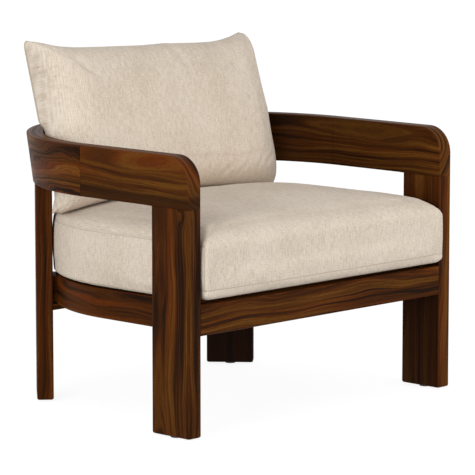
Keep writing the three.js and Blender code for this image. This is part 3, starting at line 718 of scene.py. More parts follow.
@dataclass
class TimberFrame:
    """Arms, band, legs and rails of stained hardwood, and the plainer pieces that they hide."""

    lines: FrameLines
    arris: float = 0.0032  # radius of the boards' rounded edges
    joint_arris: float = 0.0004  # and where two boards meet
    leg_arris_at_foot: float = 0.0045
    batten_arris: float = 0.0015
    nose: float = 0.057  # radius of an arm's top front corner
    over_leg: float = 0.112  # length of an arm's underside that lies on its leg
    arm_middle: Pair = (0.388, 0.527)  # the X and Z about which the right arm's figure is laid
    back_rail_degrees: float = 62.0  # turn round the bend, from +X, at which the right corner block ends
    glue_gap: float = 0.0003
    band_start: float = 0.02  # radians from the arm's end round to the first ring of the bend
    ring_start: float = 0.03  # and in the seat ring, from the end of its straight side
    band_steps: int = 44  # rings round each part of the band
    ring_steps: int = 40  # and of the seat ring
    heart_at: float = -0.026  # height in the left arm, from its middle, at which its heartwood starts
    knot_at: Pair = (0.459, -0.037)  # height and place across of the left front leg's knot
    show_wood: StainedWood = StainedWood("stained_hardwood")
    swirl_wood: StainedWood = StainedWood("stained_hardwood_swirl", figure=1.3, contrast=1.7)
    # the left rear leg is darkened all over: painted shade of the seat above it
    painted_shade_rear_wood: StainedWood = StainedWood("hardwood_painted_rear_shade", depth=0.4)
    # the right rear leg is near black: painted shade under the seat
    painted_under_seat_wood: StainedWood = StainedWood("hardwood_painted_under_seat_shade", dark=linear(17, 7, 5), depth=0.9)
    leg_wood: StainedWood = StainedWood("stained_hardwood_leg", contrast=1.7, depth=0.14)
    # the right arm and corner block: painted shade, none at the arm's front, growing darker towards the back by the
    # pillow
    painted_shade_arm_wood: StainedWood = StainedWood(
        "hardwood_painted_shade_arm", contrast=1.7, depth=0.66,
        fades=(Fade(1, -0.355, -0.24, 0.0), Fade(1, -0.2, 0.2, 0.5)),
    )
    # the right front leg: painted shade, lighter on its front face and darker below the seat
    painted_shade_leg_wood: StainedWood = StainedWood(
        "hardwood_painted_shade_leg", contrast=1.7, depth=0.68,
        fades=(Fade(1, -0.3578, -0.3545, 0.3), Fade(2, 0.47, 0.36, 0.5)),
    )
    inner_wood: StainedWood = StainedWood("stained_hardwood_inner", gloss=0.5)
    pale_across: StainedWood = StainedWood("bare_slat_wood", Grain.ALONG_X, bareness=0.45, gloss=0.65)
    inner_across: StainedWood = StainedWood("stained_inner_wood", Grain.ALONG_X, gloss=0.5)
    steel: PlainFinish = PlainFinish("zinc_plated_steel", linear(150, 150, 148), 0.38, 1.0)
    nylon: PlainFinish = PlainFinish("black_nylon", linear(44, 44, 44), 0.5)

    def build(self) -> None:
        """Builds every board and dresses the nodes that stay."""
        # the finishes of the right arm and corner block, the right front leg and both rear legs carry painted shade
        wood, swirl, shaded_arm_finish, shaded_leg_finish, rear, shade = (
            finish.material() for finish in (
                self.leg_wood, self.swirl_wood, self.painted_shade_arm_wood, self.painted_shade_leg_wood, self.painted_shade_rear_wood, self.painted_under_seat_wood,
            )
        )
        inner = self.inner_wood.material()
        seeds = {
            "arm_rail": (3, 4), "back_corner": (11, 4), "front_leg": (21, 27), "rear_leg": (31, 32),
            "side_rail": (41, 42),
        }
        arm_cut, leg_cut = timber_offset(seeds["arm_rail"][0]), timber_offset(seeds["front_leg"][0])
        heart = replace(self.show_wood, name="stained_hardwood_heart", heart_edge=float(arm_cut[1]) + self.heart_at)
        knot = (self.knot_at[0] + float(leg_cut[0]), self.knot_at[1] + float(leg_cut[1]))
        knotty = replace(self.leg_wood, name="stained_hardwood_knot", knot=knot)
        left_arm, left_leg = heart.material(), knotty.material()
        for number, side in enumerate(Side):
            label = side.label
            is_left = side is Side.LEFT
            for stem, board, finish, node in (
                ("arm_rail", self._arm(), left_arm if is_left else shaded_arm_finish, f"arm_rail_{label}"),
                ("back_corner", self._corner(is_left), swirl if is_left else shaded_arm_finish, f"back_corner_{label}"),
                ("front_leg", self._front_leg(), left_leg if is_left else shaded_leg_finish, f"front_leg_{label}"),
                ("rear_leg", self._rear_leg(), rear if is_left else shade, f"rear_leg_{label}"),
                ("side_rail", self._side_rail(), inner, f"seat_side_rail_{label}"),
            ):
                piece = board.piece(f"{node}_board", finish, side.sign, seeds[stem][number], node)
                self._keep(piece, "dark_wood" if finish is inner else "wood")
        self._keep(self._back_rail().piece("back_rail_board", wood, 1, 15, "back_rail"), "wood")
        self._keep(self._front_rail().piece("seat_front_rail_board", wood, 1, 51, "seat_front_rail"), "wood")
        self._keep(self._rear_ring().piece("seat_rear_rail_board", inner, 1, 45, "seat_rear_rail"), "dark_wood")
        self._keep(self._batten().piece("rear_batten_board", inner, 1, 61, "rear_batten"), "dark_wood")
        self._dress_nodes()

    @staticmethod
    def _keep(piece: bpy.types.Object, slot: str) -> None:
        """Reports that a piece rides on the frame's body."""
        LOG.info("%s rides on %s", piece.name, FRAME_BODY)

    def _arm(self) -> Board:
        """A straight arm, drawn from its inner face to its outer one, with a round top front corner.

        Returns:
            The board.
        """
        lines = self.lines
        angles = np.linspace(math.pi, math.pi / 2, 15)
        nose = np.stack([
            lines.front + self.nose + self.nose * np.cos(angles),
            lines.arm_height - self.nose + self.nose * np.sin(angles),
        ], axis=1)
        over_leg = lines.front + self.over_leg
        outline = np.array([
            (lines.arm_end, lines.band_bottom), (over_leg + 0.01, lines.band_bottom), (over_leg, lines.band_bottom),
            (lines.front, lines.band_bottom), *nose, (lines.arm_end, lines.arm_height),
        ])
        count = len(outline)
        radii = np.full(count, self.arris)  # of the edge from each corner to the next one
        radii[1:3] = self.joint_arris
        radii[-1] = self.joint_arris
        ahead = np.roll(outline, -1, axis=0) - outline
        inward = np.stack([ahead[:, 1], -ahead[:, 0]], axis=1) / np.linalg.norm(ahead, axis=1)[:, None]
        if np.dot(inward[0], outline.mean(axis=0) - outline[0]) < 0:
            inward = -inward
        before, own = np.roll(inward, 1, axis=0), inward
        rings, grain, edge = [], [], []
        turns = np.linspace(0, math.pi / 2, 5)
        profile = [(1 - math.sin(t), 1 - math.cos(t), math.sin(2 * t)) for t in turns]
        profile = [(inset, depth, glow, 1) for inset, depth, glow in profile] + [
            (inset, depth, glow, -1) for inset, depth, glow in reversed(profile)
        ]
        for inset, depth, glow, face in profile:
            drawn = radii * inset
            shift = np.array([
                np.linalg.solve(np.stack([before[i], own[i]]), [drawn[i - 1], drawn[i]])
                if abs(np.cross(before[i], own[i])) > 0.05
                else own[i] * (drawn[i] + drawn[i - 1]) / 2
                for i in range(count)
            ])
            place = outline + shift
            sunk = np.maximum(radii, np.roll(radii, 1)) * depth
            x = lines.inner + sunk if face > 0 else lines.outer - sunk
            rings.append(np.column_stack([x, place]))
            grain.append(np.column_stack([place[:, 0], place[:, 1] - self.arm_middle[1], x - self.arm_middle[0]]))
            edge.append(np.full(count, glow))
        return Board.stacked(rings, grain, edge)

    def _swept(self, low: Pair, high: Pair, turns: np.ndarray, start: float | None, raked: bool) -> Board:
        """A bent board: a rounded section carried round the bend, with a straight length before it if start is given.

        Args:
            low, high: The section's ends, as radius and height.
            turns: Turns round the bend, from +X.
            start: Y of its straight front end, or None.
            raked: Whether its centre moves back with its height.

        Returns:
            The board.
        """
        lines = self.lines
        section, glow = rounded_section(low, high, self.arris)
        radius, z = section.T
        centre = lines.centre(z) if raked else np.full_like(z, lines.bend)
        middle = (low[0] + high[0]) / 2
        steps = []
        if start is not None:
            for share in np.linspace(0, 1, 8, endpoint=False):
                y = start + share * (centre + radius * math.sin(turns[0]) - start)
                steps.append((np.column_stack([radius, y, z]), y - lines.bend))
        for turn in turns:
            ring = np.column_stack([radius * math.cos(turn), centre + radius * math.sin(turn), z])
            steps.append((ring, np.full_like(z, middle * turn)))
        across, through = z - (low[1] + high[1]) / 2, radius - middle
        return Board.stacked(
            [ring for ring, _ in steps],
            [np.column_stack([along, across, through]) for _, along in steps],
            [glow] * len(steps),
        )

    def _joint_turn(self, sign: int) -> float:
        """The turn of the joint at the back rail's end: of its front side for -1 and its rear side for 1."""
        middle = (self.lines.inner + self.lines.outer) / 2
        return math.radians(self.back_rail_degrees) + sign * self.glue_gap / 2 / middle

    def _corner(self, own_figure: bool) -> Board:
        """A curved corner block of the band, from the arm's end to the back rail.

        Args:
            own_figure: Whether its grain starts anew at the arm, and doesn't run on from it.

        Returns:
            The board.
        """
        lines = self.lines
        start = lines.arm_end + self.glue_gap
        reach = math.asin((start - lines.bend) / lines.inner) + self.band_start
        turns = np.linspace(reach, self._joint_turn(-1), self.band_steps)
        board = self._swept(*lines.band, turns, start, True)
        if not own_figure:
            board.grain += [lines.bend, 0.0, 0.0]
        return board

    def _back_rail(self) -> Board:
        """The curved back rail between the corner blocks."""
        end = self._joint_turn(1)
        return self._swept(*self.lines.band, np.linspace(end, math.pi - end, self.band_steps), None, True)

    def _side_rail(self) -> Board:
        """A side of the seat ring."""
        turns = np.linspace(self.ring_start, self._joint_turn(-1), self.ring_steps)
        return self._swept(*self.lines.ring, turns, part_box("seat_side_rail_right")[0].y, False)

    def _rear_ring(self) -> Board:
        """The back of the seat ring."""
        end = self._joint_turn(1)
        return self._swept(*self.lines.ring, np.linspace(end, math.pi - end, self.ring_steps), None, False)

    def _post(self, plan_low: Pair, plan_high: Pair, low: float, high: float) -> Board:
        """An upright board with rounded edges, a round edge at its foot and a tight joint on top.

        Args:
            plan_low, plan_high: The two ends of its plan.
            low, high: The heights of its foot and top.

        Returns:
            The board.
        """
        foot, joint = self.leg_arris_at_foot, self.joint_arris
        turns = np.linspace(math.pi / 2, 0, 5)
        levels = [(low + foot * (1 - math.sin(t)), foot * (1 - math.cos(t))) for t in turns]
        levels += [((low + high) / 2, 0.0), (high - joint, 0.0), (high, joint)]
        rings, grain, edge = [], [], []
        middle = [(a + b) / 2 for a, b in zip(plan_low, plan_high)]
        for z, inset in levels:
            ends = [(plan_low[0] + inset, plan_low[1] + inset), (plan_high[0] - inset, plan_high[1] - inset)]
            section, glow = rounded_section(*ends, self.arris)
            x, y = section.T
            rings.append(np.column_stack([x, y, np.full_like(x, z)]))
            grain.append(np.column_stack([np.full_like(x, z), y - middle[1], x - middle[0]]))
            edge.append(glow)
        return Board.stacked(rings, grain, edge)

    def _leg_board(self, width: float, thickness: float) -> Board:
        """A leg about its own upright axis.

        Args:
            width, thickness: Its sizes along Y and X.

        Returns:
            The board.
        """
        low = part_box("front_leg_right")[0].z
        top = self.lines.band_bottom - self.glue_gap
        return self._post((-thickness / 2, -width / 2), (thickness / 2, width / 2), low, top)

    def _front_leg(self) -> Board:
        """The right front leg.

        Returns:
            The board.
        """
        low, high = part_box("front_leg_right")
        board = self._leg_board(high.y - low.y, high.x - low.x)
        board.rings += [(low.x + high.x) / 2, (low.y + high.y) / 2, 0]
        return board

    def _rear_leg(self) -> Board:
        """The right rear leg, turned to stand flush with the bend.

        Returns:
            The board.
        """
        low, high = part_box("front_leg_right")
        width, thickness = high.y - low.y, high.x - low.x
        board = self._leg_board(width, thickness)
        radius = math.sqrt(self.lines.outer**2 - (width / 2) ** 2) - thickness / 2
        turn = self.lines.rear_turn
        x, y, z = board.rings[..., 0] + radius, board.rings[..., 1], board.rings[..., 2]
        board.rings = np.stack([
            x * math.cos(turn) - y * math.sin(turn), self.lines.bend + x * math.sin(turn) + y * math.cos(turn), z,
        ], axis=-1)
        return board

    def _front_rail(self) -> Board:
        """The front seat rail, between the front legs.

        Returns:
            The board.
        """
        low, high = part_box("seat_front_rail")
        reach = self.lines.inner - self.glue_gap
        section, glow = rounded_section((low.y, low.z), (high.y, high.z), self.arris)
        y, z = section.T
        rings, grain = [], []
        for x in np.linspace(-reach, reach, 9):
            rings.append(np.column_stack([np.full_like(y, x), y, z]))
            grain.append(np.column_stack([np.full_like(y, x), z - (low.z + high.z) / 2, y - (low.y + high.y) / 2]))
        return Board.stacked(rings, grain, [glow] * len(rings))

    def _batten(self) -> Board:
        """The batten between the rear legs, its ends cut to their faces.

        Returns:
            The board.
        """
        low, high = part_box("rear_batten")
        slope = math.tan(self.lines.rear_turn)
        rings, grain = [], []
        section, glow = rounded_section((low.y, low.z), (high.y, high.z), self.batten_arris)
        y, z = section.T
        for share in np.linspace(-1, 1, 7):
            x = share * (high.x - (y - low.y) * slope)
            rings.append(np.column_stack([x, y, z]))
            grain.append(np.column_stack([x, y - low.y, z - low.z]))
        return Board.stacked(rings, grain, [glow] * len(rings))

    def _dress_nodes(self) -> None:
        """Gives each CAD node that stays its finish."""
        bare = self.pale_across.material()
        finishes = {
            "seat_slat": bare, "dowel": bare, "bolt": self.steel.material(), "glide": self.nylon.material(),
            "": self.inner_across.material(),
        }
        for name, node in frame["nodes"].items():
            if node.hide_render or node["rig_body"] != FRAME_BODY:
                continue
            finish = next(material for key, material in finishes.items() if key in name)
            node.data.materials.clear()
            node.data.materials.append(finish)
            LOG.info("%s keeps its CAD shape", name)


def swell(
    piece: bpy.types.Object, held: np.ndarray, pressure: float, cap: float, firmness: float = 0.85, frames: int = 20,
) -> None:
    """Fills a cushion's cover by cloth simulation, and keeps the result as its mesh.

    Args:
        piece: The closed cover.
        held: How firmly each corner is held, from 0 to 1.
        pressure: Of the filling.
        cap: The furthest that a corner may move.
        firmness: How well the filling keeps the cover from sinking in, from 0 to 1.
        frames: How long the cover settles.
    """
    start, facing = corners_of(piece), normals_of(piece)
    group = piece.vertex_groups.new(name="held")
    for level in np.unique(np.round(held[held > 0], 1)):
        rows = np.flatnonzero(np.isclose(np.round(held, 1), level))
        group.add(rows.tolist(), float(level), "REPLACE")
    cloth = piece.modifiers.new("cover", "CLOTH")
    cloth.settings.quality = 5
    cloth.settings.mass = 0.3
    cloth.settings.tension_stiffness = 15
    cloth.settings.compression_stiffness = 10
    cloth.settings.bending_stiffness = 0.5
    cloth.settings.use_pressure = True
    cloth.settings.uniform_pressure_force = pressure
    cloth.settings.vertex_group_mass = "held"
    cloth.settings.effector_weights.gravity = 0
    cloth.collision_settings.use_collision = False
    cloth.point_cache.frame_start, cloth.point_cache.frame_end = 1, frames
    scene = bpy.context.scene
    for step in range(1, frames + 1):
        scene.frame_set(step)
    settled = piece.evaluated_get(bpy.context.evaluated_depsgraph_get())
    moved = read_vectors(settled.data.vertices, "co") - start
    reach = np.linalg.norm(moved, axis=1)
    moved *= (np.minimum(reach, cap) / np.maximum(reach, 1e-9))[:, None]
    sunk = np.minimum(0, (moved * facing).sum(axis=1))
    moved -= facing * (firmness * sunk)[:, None]
    piece.modifiers.remove(cloth)
    piece.vertex_groups.clear()
    scene.frame_set(1)
    set_corners(piece, start + moved)
    LOG.info("%s settled, its cover moved up to %.1f mm", piece.name, 1000 * float(min(reach.max(), cap)))


def applied(piece: bpy.types.Object, kind: str, **settings: Any) -> None:
    """Adds a modifier to a piece and makes its result the piece's own mesh.

    Args:
        piece: The piece.
        kind: The modifier's type.
        settings: Its own properties.
    """
    modifier = piece.modifiers.new("form", kind)
    for key, value in settings.items():
        setattr(modifier, key, value)
    mesh = bpy.data.meshes.new_from_object(piece.evaluated_get(bpy.context.evaluated_depsgraph_get()))
    piece.modifiers.clear()
    old = piece.data
    piece.data = mesh
    bpy.data.meshes.remove(old)
    mesh.shade_smooth()


def tube(
    name: str, path: np.ndarray, radius: float, sides: int, closed: bool, finish: bpy.types.Material,
) -> bpy.types.Object:
    """A tube along a path, such as a line of sewing or a zip's coil.

    Args:
        name: The piece's name.
        path: Its middle line.
        radius: Of the tube.
        sides: Round the tube.
        closed: Whether the path runs back to its start.
        finish: Its material.

    Returns:
        The object.
    """
    count = len(path)
    ahead = np.roll(path, -1, axis=0) - np.roll(path, 1, axis=0)
    if not closed:
        ahead[0], ahead[-1] = path[1] - path[0], path[-1] - path[-2]
    ahead /= np.linalg.norm(ahead, axis=1)[:, None]
    up = np.where(np.abs(ahead[:, 2:]) > 0.9, [[1.0, 0.0, 0.0]], [[0.0, 0.0, 1.0]])
    side = np.cross(ahead, up)
    side /= np.linalg.norm(side, axis=1)[:, None]
    over = np.cross(side, ahead)
    angles = np.linspace(0, 2 * math.pi, sides, endpoint=False)
    rings = path[:, None] + radius * (
        np.cos(angles)[None, :, None] * side[:, None] + np.sin(angles)[None, :, None] * over[:, None]
    )
    number = np.arange(count * sides).reshape(count, sides)
    last = count if closed else count - 1
    faces = []
    for i in range(last):
        a, b = number[i], number[(i + 1) % count]
        faces += [[a[j], b[j], b[(j + 1) % sides], a[(j + 1) % sides]] for j in range(sides)]
    if not closed:
        faces += [number[0].tolist(), number[-1][::-1].tolist()]
    return add_piece(name, rings.reshape(-1, 3), faces, finish)


@dataclass
class SeatCushion:
    """The loose seat cushion: a domed top that falls over its front, and sewn sides that round the back."""

    lines: FrameLines
    linen: bpy.types.Material
    sewing: bpy.types.Material
    corner: float = 0.006  # radius of its front corners, seen from above
    foot_seam: float = 0.0205  # height of the foot seam above its bottom
    top_seam: float = 0.1115  # and of the seam round the top of the sides
    crown: float = 0.1615  # and of its top
    crown_inset: float = 0.29  # how far in from the sides it is as high as that
    edge_roll: float = 0.034  # width of the round top edge at the sides
    front_roll: float = 0.046  # and at the front
    roll_share: float = 0.45  # share of its rise that lies in that round edge
    press: float = 0.016  # how far the pillow presses it down behind
    press_start: float = -0.008  # Y at which that starts
    press_end: float = 0.112  # and at which it is full
    bulge: float = 0.0035  # how far its sides stand out between their seams
    foot_roll: float = 0.005  # radius of the round edge at its foot
    foot_sag: float = 0.0062  # how far its foot hangs down over the ring, past the slats' ends
    corner_seam: float = 0.004  # how far behind its front the two corner seams lie
    corner_ear: float = 0.004  # how far they stand out
    thread: float = 0.0006  # radius of the sewing
    voxel: float = 0.0062  # grid on which its cover is meshed
    pressure: float = 4.0  # of the filling
    growth: float = 0.0045  # what it adds on each side
    corner_firmness: float = 0.85  # how far the front corners' seams hold it back
    side_stand: float = 0.0022  # how far its sides stand past the solid's
    front_stand: float = 0.0004  # and its front
    zip_sink: float = 0.0014  # how far the cover lies behind the zip's outer face
    clearance: float = 0.0008  # from the timber frame
    seam_depth: float = 0.0011
    unevenness: float = 0.0013
    pucker: float = 0.0004  # beside the seams
    cuts: tuple[float, float, float] = (2.0, 5.0, 9.0)  # where the sides, top and underside lie on the cloth
    zip_degrees: float = 37.0  # half the turn over which the zip keeps the back from swelling

    def __post_init__(self) -> None:
        """Takes the cushion's room from its CAD solid and its neighbours."""
        low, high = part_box("seat_cushion")
        self.bottom = low.z
        self.half = high.x + self.side_stand
        self.front = low.y + self.growth - self.front_stand
        self.bend = self.lines.bend
        leg_low, leg_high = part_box("front_leg_right")
        self.leg_half_width = (leg_high.y - leg_low.y) / 2
        outer = self.lines.outer
        self.rear_leg_reach = math.sqrt(outer**2 - self.leg_half_width**2) - (leg_high.x - leg_low.x)
        self.zip_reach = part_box("seat_zip_tape")[1].y - self.bend - self.zip_sink

    def build(self) -> bpy.types.Object:
        """Builds the cushion and its seams.

        Returns:
            The cover.
        """
        cover = self._cover()
        applied(cover, "REMESH", mode="VOXEL", voxel_size=self.voxel, adaptivity=0.0)
        flat = corners_of(cover)
        swell(cover, self._held(flat), self.pressure, self.growth)
        firm = self.corner_firmness * self._by_corner_seams(flat, 0.02)
        swollen = corners_of(cover)
        set_corners(cover, self._kept_clear(swollen + (flat - swollen) * firm[:, None]))
        applied(cover, "SUBSURF", levels=1, render_levels=1)
        self._carve(cover)
        self._lay_weave(cover)
        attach(cover, SEAT_BODY)
        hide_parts("seat_cushion")
        LOG.info("%s rides on %s, with %d corners", cover.name, SEAT_BODY, len(cover.data.vertices))
        self._sew(cover)
        return cover

    def _ring(self, inset: float, around: int = 320) -> np.ndarray:
        """The cushion's plan, drawn in all round. Corner numbers keep their places as it shrinks.

        Args:
            inset: How far it is drawn in.
            around: About how many corners it has.

        Returns:
            Its corners as X and Y, from the bend's right end round by the back, the left side and the front.
        """
        half, front = self.half - inset, self.front + inset
        radius = max(self.corner - inset, 0.003)
        level = front + radius
        back, side, corner, width = (round(around * share) for share in (0.44, 0.135, 0.02, 0.25))
        behind = np.linspace(0, math.pi, back, endpoint=False)
        left = np.linspace(math.pi, 1.5 * math.pi, corner, endpoint=False)
        right = np.linspace(-math.pi / 2, 0, corner, endpoint=False)
        parts = (
            (half * np.cos(behind), self.bend + half * np.sin(behind)),
            (np.full(side, -half), np.linspace(self.bend, level, side, endpoint=False)),
            (radius - half + radius * np.cos(left), level + radius * np.sin(left)),
            (np.linspace(radius - half, half - radius, width, endpoint=False), np.full(width, front)),
            (half - radius + radius * np.cos(right), level + radius * np.sin(right)),
            (np.full(side, half), np.linspace(level, self.bend, side, endpoint=False)),
        )
        return np.concatenate([np.column_stack(part) for part in parts])

    def _side_inset(self, x: np.ndarray, y: np.ndarray) -> np.ndarray:
        """How far a place lies in from the cushion's sides and back."""
        return self.half - np.hypot(x, np.maximum(0, y - self.bend))

    def _top(self, x: np.ndarray, y: np.ndarray, inset: np.ndarray) -> np.ndarray:
        """Height of the domed top above the cushion's bottom.

        Args:
            x, y: The places.
            inset: How far each place's ring is drawn in from the sides.

        Returns:
            The heights.
        """
        to_front = y - self.front
        near_front = 1 - smoothstep(to_front, 0.0, 0.1)
        roll_width = self.edge_roll + (self.front_roll - self.edge_roll) * near_front
        roll = np.sqrt(1 - (1 - np.clip(inset / roll_width, 0, 1)) ** 2)
        even_inset = soft_least(self._side_inset(x, y), to_front, 0.06)
        dome = 1 - (1 - np.clip(even_inset / self.crown_inset, 0, 1)) ** 2
        full = self.top_seam + (self.crown - self.top_seam) * (self.roll_share * roll + (1 - self.roll_share) * dome)
        pressed = smoothstep(y, self.press_start, self.press_end) * np.clip(inset / self.edge_roll, 0, 1)
        return full - self.press * pressed

    def _cover(self) -> bpy.types.Object:
        """The cushion's closed cover, before it settles: rings from under its middle round to its crown.

        Returns:
            The cover.
        """
        whole = self._ring(0.0)
        inward = (self._ring(0.001) - whole) / 0.001
        front = 1 - smoothstep(whole[:, 1], self.front + 0.5 * self.corner, self.front + 3 * self.corner)
        rings = []
        for inset in (0.3, 0.2, 0.1, 0.05, 0.036, 0.025, 0.016):
            plan = self._ring(inset)
            rings.append(np.column_stack([plan, self.bottom - self._sag(*plan.T)]))
        roll, middle = self.foot_roll, (self.foot_seam + self.top_seam) / 2
        turns = np.linspace(0, math.pi / 2, 5)
        profile = [(self.bulge + roll * (1 - math.sin(t)), roll * (1 - math.cos(t))) for t in turns]
        for height in np.linspace(self.foot_seam, self.top_seam, 9):
            share = abs(height - middle) / (self.top_seam - middle)
            profile.append((self.bulge * share**2.5, height))
        for inset, height in profile:
            eased = inset - min(inset, self.bulge) * 0.8 * front
            plan = whole + inward * eased[:, None]
            drop = self._sag(*plan.T) * max(0.0, 1 - height / 0.06)
            rings.append(np.column_stack([plan, self.bottom + height - drop]))
        for share in (0.008, 0.02, 0.04, 0.07, 0.11, 0.16, 0.23, 0.33, 0.46, 0.62, 0.8, 1.0):
            inset = share * self.crown_inset
            plan = self._ring(inset + self.bulge)
            height = self._top(plan[:, 0], plan[:, 1], np.full(len(plan), inset))
            rings.append(np.column_stack([plan, self.bottom + height]))
        faces = skin(len(rings), len(whole))
        return add_piece("seat_cushion_cover", np.concatenate(rings), faces, self.linen)

    def _seam_nearness(self, points: np.ndarray, width: float) -> np.ndarray:
        """How near places lie to a seam: round the foot, round the top of the sides and back, or up a front corner.

        Args:
            points: The places, one a row.
            width: Of the seams' surroundings.

        Returns:
            1 on a seam, falling to 0 at a few widths from it.
        """
        x, y, z = points.T
        to_front = y - self.front
        on_side = 1 - smoothstep(np.minimum(self._side_inset(x, y), to_front), 0.012, 0.02)
        foot = np.exp(-(((z - self.bottom - self._foot_seam_at(x, y)) / width) ** 2)) * on_side
        top = np.exp(-(((z - self.bottom - self.top_seam) / width) ** 2)) * on_side
        top *= smoothstep(to_front, 0.003, 0.012)
        return np.maximum(np.maximum(0.5 * foot, top), self._by_corner_seams(points, 1.4 * width))

    def _by_corner_seams(self, points: np.ndarray, width: float) -> np.ndarray:
        """How near places lie to the two upright seams at the front corners.

        Args:
            points: The places, one a row.
            width: Of the seams' surroundings.

        Returns:
            1 on a seam, falling to 0 at a few widths from it.
        """
        x, y, z = points.T
        off_seam = np.hypot(np.abs(x) - self.half, y - self.front - self.corner_seam)
        between = smoothstep(z, self.bottom + 0.004, self.bottom + 0.012)
        between *= 1 - smoothstep(z, self.bottom + self.top_seam - 0.004, self.bottom + self.top_seam + 0.014)
        return np.exp(-((off_seam / width) ** 2)) * between

    def _sag(self, x: np.ndarray, y: np.ndarray) -> np.ndarray:
        """How far the cushion's bottom hangs down at a place."""
        past_slats = 1 - smoothstep(self._side_inset(x, y), 0.014, 0.034)
        return self.foot_sag * past_slats * smoothstep(y - self.front, 0.03, 0.12)

    def _foot_seam_at(self, x: np.ndarray, y: np.ndarray) -> np.ndarray:
        """Height of the foot seam above the bottom: it dips out of sight behind the front corners."""
        dip = (self.foot_seam - 0.003) * smoothstep(y - self.front, 0.012, 0.05)
        return self.foot_seam - dip - self._sag(x, y)

    def _held(self, points: np.ndarray) -> np.ndarray:
        """How firmly the slats hold each point: 1 under the cushion and 0 on its sides and top."""
        return 1 - smoothstep(points[:, 2], self.bottom + 0.001, self.bottom + 0.006)

    def _kept_clear(self, points: np.ndarray) -> np.ndarray:
        """Keeps the cover off the arms, the legs, the slats and the zip, evenly all round.

        Args:
            points: The cover's corners, one a row.

        Returns:
            The corners, moved in where they came too close.
        """
        x, y, z = points.T.copy()
        turn = np.degrees(np.arctan2(y - self.bend, x))
        room = np.full(len(x), self.lines.inner - self.clearance)
        by_zip = 1 - smoothstep(np.abs(turn - 90), self.zip_degrees - 4, self.zip_degrees + 6)
        room -= by_zip * (self.lines.inner - self.clearance - self.zip_reach)
        room += 0.004 * (1 - smoothstep(y - self.front, 0.006, 0.011))
        reach = np.hypot(x, np.maximum(0, y - self.bend))
        share = np.minimum(1, room / np.maximum(reach, 1e-9))
        x *= share
        y = np.where(y > self.bend, self.bend + (y - self.bend) * share, y)
        for side in Side:
            facing = (side.sign * math.cos(self.lines.rear_turn), math.sin(self.lines.rear_turn))
            along = x * facing[0] + (y - self.bend) * facing[1]
            aside = np.abs(-x * facing[1] + (y - self.bend) * facing[0])
            excess = np.maximum(0, along - (self.rear_leg_reach - self.clearance))
            excess *= 1 - smoothstep(aside, self.leg_half_width + 0.002, self.leg_half_width + 0.012)
            x, y = x - excess * facing[0], y - excess * facing[1]
        return np.column_stack([x, y, np.maximum(z, self.bottom - self._sag(x, y))])

    def _carve(self, cover: bpy.types.Object) -> None:
        """Sinks the seams into the settled cover, and gives it slight unevenness.

        Args:
            cover: The cover.
        """
        points = corners_of(cover)
        facing = normals_of(cover)
        seams = self._seam_nearness(points, 0.0022)
        around = self._seam_nearness(points, 0.014)
        rough = waves(points, (0.34, 0.19, 0.1), 5)
        puckered = waves(points * [1.0, 1.0, 0.3], (0.026, 0.017), 9)
        above = smoothstep(points[:, 2], self.bottom + 0.004, self.bottom + 0.018)
        move = self.unevenness * rough * (1 - around) - self.seam_depth * seams
        move += self.pucker * puckered * around * (1 - seams)
        moved = points + facing * (move * above)[:, None]
        ear = self.corner_ear * self._by_corner_seams(points, 0.009)
        moved += np.column_stack([ear * np.sign(points[:, 0]), -ear, 0 * ear]) * math.sqrt(0.5)
        set_corners(cover, self._kept_clear(moved))

    def _lay_weave(self, cover: bpy.types.Object) -> None:
        """Stores where each point lies on the cloth: across it and along it.

        Args:
            cover: The cover.
        """
        x, y, z = corners_of(cover).T
        on_side, on_top, on_underside = self.cuts
        height = z - self.bottom
        to_front = y - self.front
        behind = np.maximum(0, y - self.bend)
        turn = np.arctan2(behind, np.abs(x))
        before_bend = np.where(behind > 0, 0, self.bend - y)
        round_side = np.sign(x) * (self.half * (math.pi / 2 - turn) + on_side + before_bend)
        foot = self._foot_seam_at(x, y)
        side = (height < self.top_seam) & (height > foot) & (to_front > 0.006)
        under = height <= foot
        drop = self.crown - height
        falls_aside = (1 - smoothstep(self._side_inset(x, y), 0.0, 0.09)) * 0.6 * drop
        falls_front = (1 - smoothstep(to_front, 0.0, 0.1)) * drop
        across = np.where(side, round_side, x + np.sign(x) * np.where(under, 0, falls_aside) * (to_front > 0.02))
        below = on_underside + y - np.where(to_front < 0.02, height, 0)
        along = np.where(side, z, np.where(under, below, on_top + y - falls_front))
        add_vectors(cover, "weave", np.column_stack([across, along, np.zeros(len(x))]))

    def _sew(self, cover: bpy.types.Object) -> None:
        """Lays the thread lines that show in the seams.

        Args:
            cover: The carved cover.
        """
        whole = self._ring(0.0)
        on_foot = np.column_stack([whole, self.bottom + self._foot_seam_at(*whole.T)])
        turns = np.linspace(0, math.pi, 150)
        start = self.front + 0.006
        right = [(self.half, y) for y in np.linspace(start, self.bend, 60, endpoint=False)]
        round_back = [(self.half * math.cos(t), self.bend + self.half * math.sin(t)) for t in turns]
        left = [(-x, y) for x, y in reversed(right)]
        behind = np.array([*right, *round_back, *left])
        on_top = np.column_stack([behind, np.full(len(behind), self.bottom + self.top_seam)])
        heights = np.linspace(self.foot_seam, self.top_seam + 0.006, 24)
        paths = {"foot_seam": (on_foot, True), "side_seam": (on_top, False)}
        for side in Side:
            corner = np.full((len(heights), 3), [side.sign * self.half, self.front + self.corner_seam, self.bottom])
            corner[:, 2] += heights
            paths[f"corner_seam_{side.label}"] = (corner, False)
        surface = surface_of(cover)
        for name, (path, closed) in paths.items():
            laid = np.array([surface.find_nearest(Vector(place))[0] for place in path])
            thread = tube(name, laid, self.thread, 5, closed, self.sewing)
            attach(thread, SEAT_BODY)
            LOG.info("%s rides on %s", name, SEAT_BODY)


@dataclass(frozen=True)
class Fold:
    """A soft crease in the pillow's front panel, between two places given across and up, in metres."""

    start: Pair
    end: Pair
    depth: float
    width: float


